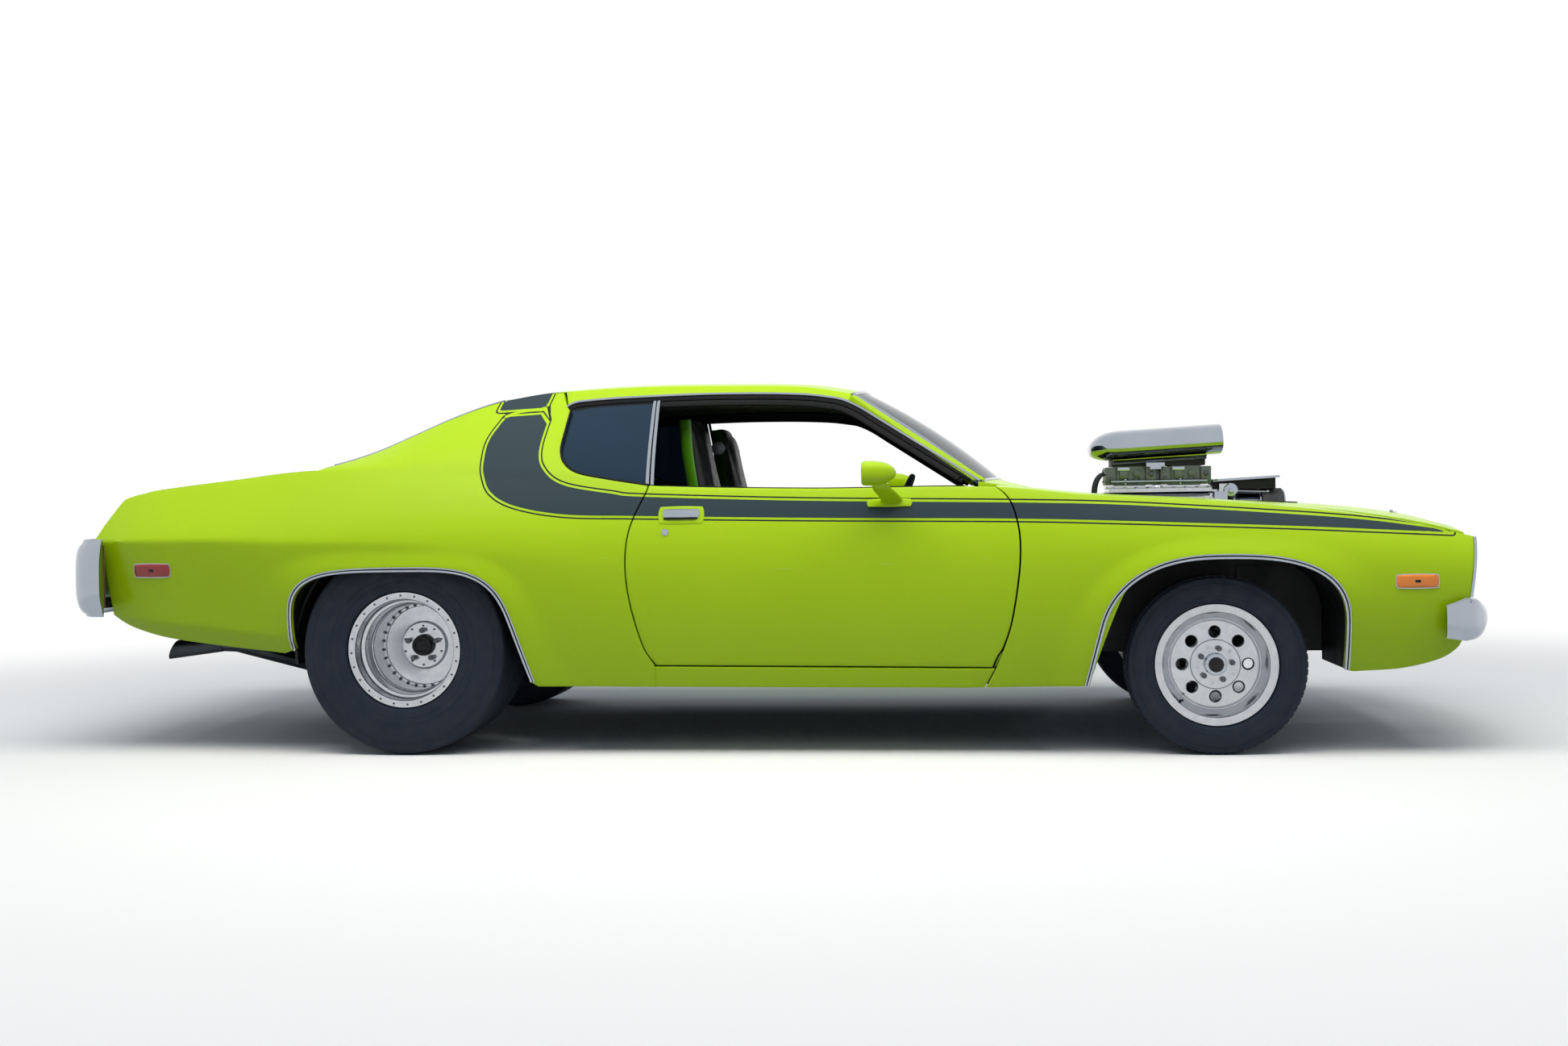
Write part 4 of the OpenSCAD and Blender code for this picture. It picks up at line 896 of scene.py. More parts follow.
class Repeat:
    """Geometry Nodes: one small mesh repeated in a ring or in a row, such as bolts, ribs, teeth and tread blocks."""

    NAME = "repeated_piece"

    @classmethod
    def tree(cls) -> bpy.types.NodeTree:
        """Build the tree once.

        Returns:
            The tree.
        """
        known = bpy.data.node_groups.get(cls.NAME)
        if known:
            return known
        tree = bpy.data.node_groups.new(cls.NAME, "GeometryNodeTree")
        face = tree.interface
        face.new_socket("Geometry", in_out="INPUT", socket_type="NodeSocketGeometry")
        for name, kind in (("Ring", "NodeSocketBool"), ("Count", "NodeSocketInt"), ("Circle", "NodeSocketFloat"),
                           ("Step", "NodeSocketVector"), ("Finish", "NodeSocketMaterial")):
            face.new_socket(name, in_out="INPUT", socket_type=kind)
        face.new_socket("Geometry", in_out="OUTPUT", socket_type="NodeSocketGeometry")
        given = add(tree, "NodeGroupInput").outputs
        ring = add(tree, "GeometryNodeMeshCircle", {"Vertices": given["Count"], "Radius": given["Circle"]})
        row = add(tree, "GeometryNodeMeshLine", {"Count": given["Count"], "Offset": given["Step"]})
        places = add(tree, "GeometryNodeSwitch", {"Switch": given["Ring"], "False": row.outputs["Mesh"],
                                                  "True": ring.outputs["Mesh"]}, input_type="GEOMETRY")
        place = add(tree, "GeometryNodeInputPosition").outputs[0]
        away = add(tree, "FunctionNodeAlignRotationToVector", {"Vector": place}, axis="X", pivot_axis="Z")
        turn = add(tree, "GeometryNodeSwitch", {"Switch": given["Ring"], "True": away.outputs[0]},
                   input_type="ROTATION")
        spread = add(tree, "GeometryNodeInstanceOnPoints",
                     {"Points": places.outputs[0], "Instance": given["Geometry"],
                                                            "Rotation": turn.outputs[0]})
        real = add(tree, "GeometryNodeRealizeInstances", {"Geometry": spread.outputs["Instances"]})
        done = add(tree, "GeometryNodeSetMaterial", {"Geometry": real.outputs[0], "Material": given["Finish"]})
        add(tree, "NodeGroupOutput", {"Geometry": done.outputs[0]})
        return tree

    @classmethod
    def grow(cls, one: Clay, count: int, circle: float = 0.0, step: Sequence = (0, 0, 0)) -> bpy.types.Mesh:
        """Repeat a piece as a plain mesh, in millimetres.

        Args:
            one: The piece, drawn about the origin with +X outward.
            count: How many.
            circle: Radius of the ring about +Z; none makes a row.
            step: From one piece of a row to the next.

        Returns:
            The mesh.
        """
        mesh = bpy.data.meshes.new("repeat_host")
        mesh.from_pydata(np.concatenate(one.points).tolist(), [], one.faces)
        host = bpy.data.objects.new("repeat_host", mesh)
        bpy.context.scene.collection.objects.link(host)
        step_by = host.modifiers.new("repeat", "NODES")
        step_by.node_group = cls.tree()
        values = {"Ring": circle > 0, "Count": count, "Circle": circle, "Step": step,
                  "Finish": Paint.STEEL.material()}
        for item in cls.tree().interface.items_tree:
            if item.in_out == "INPUT" and item.name in values:
                step_by[item.identifier] = values[item.name]
        bake(host)
        mesh = host.data
        bpy.data.objects.remove(host)
        return mesh


def bolt(radius: float, height: float, sides: int = 6) -> Clay:
    """A bolt head with a chamfer, standing on the origin along +Z.

    Args:
        radius: Its radius.
        height: Its height.
        sides: Its sides.

    Returns:
        The bolt head.
    """
    edge = min(1.5, height / 3)
    return Clay().lathe([(0, 0), (radius, 0), (radius, height - edge), (radius - edge, height), (0, height)],
                        upright(0, 0, 0), sides)


def turned(x: float, plane: float, z: float, side: float = 1.0, lift: float = 0.0) -> Callable[[Array], Array]:
    """Carry local points, axis +Z outward, to a wheel or lamp on a side of the car.

    Args:
        x: Place along the car.
        plane: Half-distance of the local zero plane from the middle.
        z: Height.
        side: +1 left, -1 right.
        lift: Offset along the axis.

    Returns:
        A function on points.
    """
    def carry(p: Array) -> Array:
        """Turn and move points."""
        return np.stack([x + p[:, 0], side * (plane + p[:, 2] + lift), z + p[:, 1]], axis=1)

    return carry


def along_x(x: float, y: float, z: float) -> Callable[[Array], Array]:
    """Carry local points, axis +Z, to an axis along the car.

    Args:
        x: Place of the origin along the car.
        y: Place across it.
        z: Its height.

    Returns:
        The function that carries points.
    """
    def carry(p: Array) -> Array:
        """Turn and move points."""
        return np.stack([x + p[:, 2], y + p[:, 0], z + p[:, 1]], axis=1)

    return carry


def upright(x: float, y: float, z: float) -> Callable[[Array], Array]:
    """Carry local points to a place, unturned."""
    return lambda p: p + [x, y, z]


@dataclass
class Stripe:
    """The side stripe with its hockey-stick end, the roof band and the scuffs, in side view."""

    low: tuple = ((2432, 768), (2147, 784), (1872, 799), (1323, 823), (921, 837), (194, 850), (-418, 865),
                  (-683, 874), (-864, 906), (-961, 954), (-1002, 1021), (-1012, 1082), (-1008, 1159), (-966, 1247))
    high: tuple = ((-798, 1256), (-810, 1108), (-776, 1032), (-695, 980), (-514, 947), (-394, 934), (192, 911),
                   (922, 894), (1328, 879), (1879, 840), (2154, 814), (2432, 774))
    band: tuple = ((-1000, 1272), (-820, 1281), (-790, 1420), (-960, 1420))
    band_x: tuple = (-985, -806)
    scuffs: tuple = (((-20, 665), (300, 676), (620, 690), (880, 702)),
                     ((480, 590), (600, 570), (640, 560), (820, 575)),
                     ((-700, 745), (-560, 720), (-430, 700)))

    def outlines(self) -> list[Array]:
        """The stripe's and the band's closed outlines."""
        bend = np.concatenate([curve(self.low, 6), curve(self.high, 6)])
        return [bend, np.array(self.band, float)]

    @staticmethod
    def distance(points: Array, outline: Array) -> Array:
        """Signed distance to a closed outline, less than zero inside.

        Args:
            points: Places as x and z.
            outline: The outline's corners.

        Returns:
            Distances in millimetres.
        """
        best = np.full(len(points), 1e9)
        inside = np.zeros(len(points), bool)
        x, z = points[:, 0], points[:, 1]
        for p, q in zip(outline, np.roll(outline, -1, 0)):
            d = q - p
            t = np.clip(((points - p) @ d) / max(d @ d, 1e-9), 0, 1)
            best = np.minimum(best, np.linalg.norm(points - p - t[:, None] * d, axis=1))
            with np.errstate(divide="ignore", invalid="ignore"):
                cut = (d[0] * (z - p[1]) / d[1]) + p[0]
            inside ^= ((p[1] > z) != (q[1] > z)) & (x < cut)
        return np.where(inside, -best, best)

    def lay(self, obj: bpy.types.Object, roof: bool = False, scuffed: bool = False) -> None:
        """Write the stripe's and scuffs' distances on a panel.

        Args:
            obj: The panel.
            roof: Whether only the band crosses it.
            scuffed: Whether it has the scuffs.
        """
        mesh = obj.data
        co = np.empty(len(mesh.vertices) * 3)
        mesh.vertices.foreach_get("co", co)
        co = co.reshape(-1, 3) / MM
        flat = co[:, [0, 2]]
        if roof:
            value = np.maximum(self.band_x[0] - co[:, 0], co[:, 0] - self.band_x[1])
        else:
            value = np.minimum.reduce([self.distance(flat, line) for line in self.outlines()])
            top = (np.abs(co[:, 1]) < LINES.at(co[:, 0], Col.Y_BELT) - 3) & (co[:, 0] > 868)
            value[top & (co[:, 2] > LINES.at(co[:, 0], Col.Z_BELT) - 2)] = 1e3
        worn = np.full(len(co), 1e3)
        if scuffed:
            for line in self.scuffs:
                pts = curve(line, 4)
                worn = np.minimum(worn, np.abs(self.distance(flat, np.concatenate([pts, pts[::-1]]))))
        for name, data in (("stripe", value), ("scuff", worn)):
            mesh.attributes.new(name, "FLOAT", "POINT").data.foreach_set("value", data * MM)


@dataclass
class BodyPanels:
    """The painted skin: quarters, fenders, doors, hood, roof, cowl, deck, lid, tail and nose."""

    stripe: Stripe = field(default_factory=Stripe)
    hole_back: float = 1232
    hole_length: float = 810
    hole_half: float = 190
    hinge_y: float = 931.025
    hinge_heights: tuple = (440, 770)

    def build(self) -> None:
        """Make every panel."""
        for side, s in SIDES:
            worn = side == "right"
            for name, clay, body in (("quarter", self.quarter(), "body"), ("fender", self.fender(), "body"),
                                     ("door", self.door(), f"door_{side}")):
                node = f"{name}_{side}"
                obj = clay.mirrored(s).piece(f"{node}_panel",
                                             (Paint.STRIPED, Paint.VINYL if name == "door" else Paint.SATIN),
                                             bevel=1.6)
                if name == "door":
                    self.notch(obj, s)
                self.stripe.lay(obj, scuffed=worn)
                dress(obj, body, "paint", node)
        self.sills()
        self.hood()
        self.roof()
        self.cowl()
        self.deck()
        self.tail()
        self.nose()

    @staticmethod
    def window_line() -> Array:
        """Edge of the quarter window, from its top back corner to the door."""
        return curve([[-724, 1262], [-729, 1180], [-731, 1112], [-710, 1062], [-655, 1024], [-545, 1000],
                      [-384 - LINES.gap / 2, 974]])

    def quarter(self) -> Clay:
        """Left quarter with its sail panel.

        Returns:
            The thick panel.
        """
        ln = LINES
        low = np.concatenate([spaced(curve([[-2450, 520], [-2395, 482], [-2308, 451], [-2213, 429], [-2033, 404],
                                            [-1765, 374]]), 40),
                              spaced(ln.arch_line(ln.rear_arch, 392, 268), 110),
                              spaced([[-790, 252], [-361, 247]], 28)])
        deck = [[x, float(ln.at(x, Col.Z_BELT)) - ln.join_gap] for x in range(-2290, -1659, 30)]
        sail = [[x, float(ln.edge_z(x)) - ln.join_gap] for x in range(-1585, -799, 15)]
        top = np.concatenate([spaced([[-2424, 944], [-2412, 957], [-2372, 970]] + deck + sail
                                     + [[-766, float(ln.edge_z(-766)) - ln.join_gap - 1]], 114),
                              [[-741, float(ln.drip(-735)) - 4]], spaced(self.window_line(), 64)])
        back = [[-2450, 520], [-2458, 640], [-2465, 740], [-2496, 800], [-2468, 863], [-2424, 944]]
        front = np.concatenate([[[-361, 247], [-361, 318]], curve(ln.door_rear, 5) - [ln.gap / 2, 0]])
        grid = patch(low, top, spaced(back, 52), spaced(front, 52))
        outer = ln.on_side(grid)
        x, z = grid[..., 0], grid[..., 1]
        near = np.clip((ln.edge_z(x) - z) / 110, 0, 1)
        deep = np.maximum(ease(800, 900, z) * ease(-1740, -1600, x), ease(-860, -770, x))
        depth = ln.skin + (ln.pillar_depth - ln.skin) * deep * ease(0, 1, near)
        return Clay().shell(outer, outer - np.stack([0 * depth, depth, 0 * depth], axis=-1))

    @staticmethod
    def fender() -> Clay:
        """Left fender with its top strip and turned-down lip.

        Returns:
            The thick panel and the filler at the door's foot.
        """
        ln = LINES
        low = np.concatenate([[[822, 241]], ln.arch_line(ln.front_arch, 246, 300),
                              curve([[2080, 293], [2244, 301], [2378, 331], [2437, 366], [2455, 395]])])
        xs = np.linspace(868 + ln.gap / 2, 2505, 60)
        top = np.stack([xs, ln.at(xs, Col.Z_BELT)], axis=1)
        front = np.array([[2455, 395], [2475, 546], [2505, float(ln.at(2505, Col.Z_BELT))]])
        n, m = 160, 44
        side = ln.on_side(patch(spaced(low, n), spaced(top, n),
                                spaced(curve(ln.door_front, 5) + [ln.gap / 2, 0], m),
                                spaced(front, m)))
        edge = side[:, -1]
        strip = []
        for k in range(1, 7):
            y = edge[:, 1] + (ln.hood_line - edge[:, 1]) * k / 6
            strip.append(np.stack([edge[:, 0], y, ln.top_z(edge[:, 0], y)], axis=1))
        outer = np.concatenate([side, np.stack(strip, axis=1)], axis=1)
        inner = outer.copy()
        depth = np.where(np.arange(n + 1) < 8, 4.0, ln.skin)[:, None]
        inner[:, : m + 1, 1] -= depth
        inner[:, m:, 2] -= depth
        inner[8:, -1, 2] -= ln.fender_lip - ln.skin
        # A plate behind the gap at the door's foot, clear of the door's corner as it swings.
        gap = ((317, 853, 866), (347, 865, 880), (362, 875, 888), (370, 884, 891), (378, 889, 894), (386, 893, 897))
        foot = np.array([[[x0, z], [(x0 + x1) / 2, z], [x1, z]] for z, x0, x1 in gap])
        filler = ln.on_side(foot, -15)
        return Clay().shell(outer, inner).shell(filler, filler - [0, 4, 0], (0, 0, 0))

    @staticmethod
    def door() -> Clay:
        """Left door, skin to trim.

        Returns:
            The thick panel.
        """
        ln = LINES
        half = ln.gap / 2
        low = np.array([[x, ln.sill_top(x) + half] for x in np.linspace(-358 + half, 847 - half, 7)])
        xs = np.linspace(-384 + half, 868 - half, 40)
        top = np.stack([xs, ln.at(xs, Col.Z_BELT)], axis=1)
        front = np.concatenate([[[847, low[-1, 1]], [861, 347], [869, 362], [885, 386]],
                                ln.door_front[3:]]) - [half, 0]
        rear = np.concatenate([[[-358, 325 + half]], ln.door_rear[1:]]) + [half, 0]
        grid = patch(spaced(low, 80), spaced(top, 80), spaced(curve(rear, 5), 44), spaced(curve(front, 5), 44))
        outer = ln.on_side(grid)
        return Clay().shell(outer, outer - [0, ln.door_depth, 0])

    def notch(self, obj: bpy.types.Object, side: float) -> None:
        """Cut the hinge notches into a door.

        Args:
            obj: The door's panel.
            side: 1 for left, -1 for right.
        """
        cutter = Clay()
        for z in self.hinge_heights:
            cutter.box((LINES.hinge_x - 18, 700, z - 42), (1000, self.hinge_y + 13, z + 42))
        tool = cutter.mirrored(side).piece("notch", ())
        cut = obj.modifiers.new("notch", "BOOLEAN")
        cut.operation, cut.solver, cut.object = "DIFFERENCE", "EXACT", tool
        bake(obj)
        bpy.data.objects.remove(tool)
        obj.data.polygons.foreach_set("use_smooth", [True] * len(obj.data.polygons))
        obj.data.set_sharp_from_angle(angle=math.radians(35))

    def sills(self) -> None:
        """Both sills under the doors."""
        ln = LINES
        xs = np.concatenate([np.linspace(-360.7, 760, 40), [816.5]])
        top = ln.sill_top(xs) - ln.gap / 2
        low = ln.at(xs, Col.Z_LOW)
        low[-1] = 241
        v = np.linspace(0, 1, 8)[None]
        z = low[:, None] * (1 - v) + top[:, None] * v
        x = np.repeat(xs[:, None], 8, axis=1)
        x[-1] = 816.5 + 37 * v[0]
        outer = np.stack([x, ln.side_y(x, z), z], axis=-1)
        inner = outer.copy()
        inner[..., 1] = 800
        clay = Clay()
        for _, s in SIDES:
            clay.shell(outer * [1, s, 1], inner * [1, s, 1])
        dress(clay.piece("sill_panels", (Paint.LIME, Paint.SATIN), bevel=1.6), "body", "paint", "sills")

    @staticmethod
    def hood_front(y: Array) -> Array:
        """Place of the hood's bowed front edge."""
        return 2496 + 46 * (1 - (np.abs(y) / LINES.hood_line) ** 2)

    def hood(self) -> None:
        """Hood with its hole for the blower, a rolled lip and hood pins."""
        ln = LINES
        back, edge = ln.cowl_edge + ln.gap, ln.hood_line - ln.gap
        ys = np.concatenate([np.linspace(edge, self.hole_half, 22)[:-1],
                             np.linspace(self.hole_half, -self.hole_half, 16),
                             np.linspace(-self.hole_half, -edge, 22)[1:]])
        end = self.hole_back + self.hole_length
        rows = [np.full(len(ys), x) for x in np.linspace(back, self.hole_back, 12)[:-1]]
        rows += [np.full(len(ys), x) for x in np.linspace(self.hole_back, end, 24)]
        rows += [end + (self.hood_front(ys) - end) * u for u in np.linspace(0, 1, 18)[1:]]
        x = np.array(rows)
        y = np.repeat(ys[None], len(x), axis=0)
        outer = np.stack([x, y, ln.hood_z(x, y)], axis=-1)
        keep = np.ones((len(x) - 1, len(ys) - 1), bool)
        keep[11:34, 21:36] = False
        hood = Clay().shell(outer, outer - [0, 0, LINES.lid_depth], keep=keep).piece("hood_panel",
                                                                                     (Paint.LIME, Paint.SATIN),
                                                                                     bevel=1.6)
        dress(hood, "hood", "paint", "hood")
        trim = Clay()
        h, r = self.hole_half + 2, 30
        turn = np.linspace(0, math.pi / 2, 9)
        loop = np.concatenate([
            [[end + 2 - r + r * math.cos(g), h - r + r * math.sin(g)] for g in turn],
            [[self.hole_back - 2 + r - r * math.sin(g), h - r + r * math.cos(g)] for g in turn]])
        loop = np.concatenate([loop, loop[::-1] * [1, -1]])
        path = np.column_stack([loop, ln.hood_z(loop[:, 0], loop[:, 1]) + 1])
        trim.sweep(path, superellipse(5, 4, 2.4, 16), (0, 0, 1), closed=True)
        dress(trim.piece("hood_hole_edging", (Paint.RUBBER,)), "hood", "black")
        pins = Clay()
        for px, py in ((2345, 400), (2345, -400), (1121, 735), (1121, -735)):
            z = float(ln.hood_z(px, py))
            pins.lathe(fillet([(8, 0), (22, 0), (22, 1.6), (9, 3), (8, 3)], 1), upright(px, py, z - 0.4), 32)
            if px < 2000:
                pins.rod((px, py, z - 4), (px, py, z + 9), 5, sides=20)
                pins.rod((px - 14, py, z + 5), (px + 14, py, z + 5), 1.8, sides=12)
        dress(pins.piece("hood_pins", (Paint.CHROME,)), "hood", "chrome")

    def roof(self) -> None:
        """Roof skin with headliner and drip flanges."""
        ln = LINES
        xs = np.concatenate([np.linspace(-1000, -760, 34), [-735], np.linspace(-726, 335, 90)])
        loops = []
        for x in xs:
            long = x > -740
            ye = float(ln.edge_y(x)) - (0 if long else ln.skin + ln.join_gap)
            if long:
                half = [[float(ln.side_y(x, ln.drip(x))), float(ln.drip(x))]]
            else:
                half = [[ye + 1.5, float(ln.top_z(x, ye)) - 3]]
            half += [[ye * (1 - k / 16), float(ln.top_z(x, ye * (1 - k / 16)))] for k in range(16)]
            half = np.array(half)
            row = np.concatenate([half, [[0, float(ln.top_z(x, 0))]], half[::-1] * [-1, 1]])
            bow = x if x <= 150 else None
            px = np.full(len(row), x) if bow is not None else 150 + (
                335 + 40 * (1 - np.minimum(1, np.abs(row[:, 0]) / 560) ** 2) - 150) * (x - 150) / 185
            loops.append(np.column_stack([px, row]))
        outer = np.array(loops) - [0, 0, 0.4]
        inner = outer.copy()
        s = np.sign(outer[..., 1])
        inner[:, 1:-1, 2] -= 24
        for j in (0, 1, -1, -2):
            inner[:, j, 1] -= s[:, j] * 24
        obj = Clay().shell(outer, inner).piece("roof_panel", (Paint.STRIPED, Paint.CLOTH), bevel=1.2)
        self.stripe.lay(obj, roof=True)
        dress(obj, "body", "paint", "roof")

    def cowl(self) -> None:
        """Cowl with a row of vent slots."""
        ln = LINES
        ys = np.linspace(774, -774, 80)
        u = ys / 712
        foot = np.stack([903 - 82 * u * u, ys, np.minimum(990 - 16 * u * u, 988)], axis=1)
        edge = np.stack([np.full(80, ln.cowl_edge), ys, ln.hood_z(ln.cowl_edge, ys)], axis=1)
        t = np.linspace(0, 1, 10)[:, None, None]
        outer = foot[None] * (1 - t) + edge[None] * t
        inner = outer.copy()
        inner[..., 2] = 900
        dress(Clay().shell(outer, inner).piece("cowl_panel", (Paint.LIME, Paint.SATIN), bevel=1.2), "body",
              "paint", "cowl")
        row = Repeat.grow(Clay().box((-18, -565, -3), (12, -555, 1.2)), 41, step=(0, 28, 0))
        slots = Clay().mesh(row, lambda p: np.stack([950 + p[:, 0] - 30 * (p[:, 1] / 712) ** 2, p[:, 1],
                                                     ln.hood_z(ln.cowl_edge, p[:, 1]) + p[:, 2] + 3], axis=1))
        dress(slots.piece("cowl_vents", (Paint.SATIN,)), "body", "black")

    def deck(self) -> None:
        """Deck frame and trunk lid."""
        ln = LINES
        bow = lambda y: 58 * (1 - (np.abs(y) / 800) ** 2)
        height = lambda x, y: ln.top_z(x, y) - 24 * (np.maximum(0, -2300 - x) / 130) ** 2
        half = float(ln.edge_y(-2378)) - ln.skin - 67
        end = -2404
        xs = np.concatenate([np.linspace(-1600, -1745, 6), np.linspace(-1745, end + 50, 30)[1:],
                             np.linspace(end + 50, end, 7)[1:]])
        grid = []
        for x in xs:
            e = float(ln.edge_y(x)) - ln.skin - ln.join_gap
            ys = np.concatenate([np.linspace(e, half, 6), np.linspace(half, -half, 40)[1:-1],
                                 np.linspace(-half, -e, 6)])
            share = np.clip((-1745 - x) / (-1795 - end), 0, 1)
            px = np.where(x < -1745, x - bow(ys) * share, x)
            grid.append(np.stack([px, ys, height(px, ys)], axis=1))
        outer = np.array(grid)
        keep = np.ones((len(xs) - 1, outer.shape[1] - 1), bool)
        keep[5:34, 5:44] = False
        dress(Clay().shell(outer, outer - [0, 0, LINES.lid_depth], keep=keep).piece("deck_frame",
                                                                                    (Paint.LIME, Paint.SATIN),
                                                                                    bevel=1.6),
              "body", "paint", "deck_panel")
        ys = np.linspace(half - ln.gap, -half + ln.gap, 60)
        lid = []
        for t in np.linspace(0, 1, 36):
            x = (-1745 - ln.gap) * (1 - t) + (end + 50 - bow(ys) + ln.gap) * t
            lid.append(np.stack([x, ys, height(x, ys)], axis=1))
        outer = np.array(lid)
        dress(Clay().shell(outer, outer - [0, 0, LINES.lid_depth]).piece("trunk_lid_panel",
                                                                         (Paint.LIME, Paint.SATIN), bevel=1.6),
              "trunk_lid", "paint", "trunk_lid")

    @staticmethod
    def tail_x(z: Array, y: Array) -> Array:
        """Place of the tail's face."""
        rows = np.array([[560, -2450], [640, -2458], [740, -2465], [797, -2495], [863, -2468], [920, -2435]], float)
        return np.interp(z, rows[:, 0], rows[:, 1]) - 58 * (1 - (np.abs(y) / 800) ** 2)

    def tail(self) -> None:
        """Tail panel with its lid striker."""
        zs = np.concatenate([np.linspace(560, 797, 24), np.linspace(797, 920, 14)[1:]])
        grid = []
        for v in np.linspace(1, -1, 60):
            y = v * (LINES.side_y(-2480, zs) - LINES.skin - 8)
            grid.append(np.stack([self.tail_x(zs, y), y, zs], axis=1))
        outer = np.array(grid)
        inner = outer.copy()
        inner[..., 0] = -2370
        clay = Clay().shell(outer, inner)
        clay.rod((-2300, 0, 880), (-2300, 0, 996), 6, 1, 24).box((-2371, -20, 868), (-2290, 20, 882), 1)
        dress(clay.piece("tail_skin", (Paint.LIME, Paint.SATIN), bevel=1.2), "body", "paint", "tail_panel")

    @staticmethod
    def nose_x(z: Array, y: Array) -> Array:
        """Place of the nose's face."""
        return np.interp(z, [395, 546, 750], [2450, 2476, 2506]) + 46 * (1 - (np.abs(y) / 860) ** 2)

    def nose(self) -> None:
        """Nose panel round the grille opening."""
        zs = np.concatenate([np.linspace(395, 574, 16), np.linspace(574, 706, 10)[1:],
                             np.linspace(706, 728, 4)[1:]])
        ys = np.concatenate([np.linspace(-828, -760, 5), np.linspace(-760, 760, 60)[1:-1],
                             np.linspace(760, 828, 5)])
        z, y = np.meshgrid(zs, ys)
        out = np.clip((np.abs(y) - 760) / 68, 0, 1)
        reach = LINES.side_y(2478, z) - LINES.skin - 1.5
        y = np.where(out > 0, np.sign(y) * (760 + (reach - 760) * out), y)
        brow = np.where(np.abs(y) > 772, 727, LINES.hood_z(self.hood_front(y), y) - 25)
        z = np.where(z > 706, 706 + (brow - 706) * (z - 706) / 22, z)
        outer = np.stack([self.nose_x(z, y), y, z], axis=-1)
        inner = outer.copy()
        inner[..., 0] = 2420.3
        keep = np.ones((len(ys) - 1, len(zs) - 1), bool)
        keep[4:-4, 15:24] = False
        dress(Clay().shell(outer, inner, (0, 1, 1), keep).piece("nose_panel", (Paint.LIME, Paint.SATIN), bevel=1.2),
              "body", "paint", "front_panel")


def pad(x0: float, x1: float, z0: float, z1: float, height: float, base: float = -0.4, power: float = 6,
        count: int = 20) -> tuple[Array, Array]:
    """A rounded pad lying on the car's left side.

    Args:
        x0: Rear end.
        x1: Front end.
        z0: Lower edge.
        z1: Upper edge.
        height: How far its middle stands out.
        base: Where its back lies from the skin.
        power: How flat its top is.
        count: Steps each way.

    Returns:
        Its outer and inner grids.
    """
    u, v = np.meshgrid(np.linspace(-1, 1, count), np.linspace(-1, 1, count), indexing="ij")
    a, b = u * np.sqrt(1 - 0.28 * v * v / 2), v * np.sqrt(1 - 0.28 * u * u / 2)
    x, z = (x0 + x1) / 2 + (x1 - x0) / 2 * a, (z0 + z1) / 2 + (z1 - z0) / 2 * b
    y = LINES.side_y(x, z)
    lift = height * (1 - np.maximum(np.abs(u), np.abs(v)) ** power * 0.55)
    return np.stack([x, y + lift, z], axis=-1), np.stack([x, y + base, z], axis=-1)


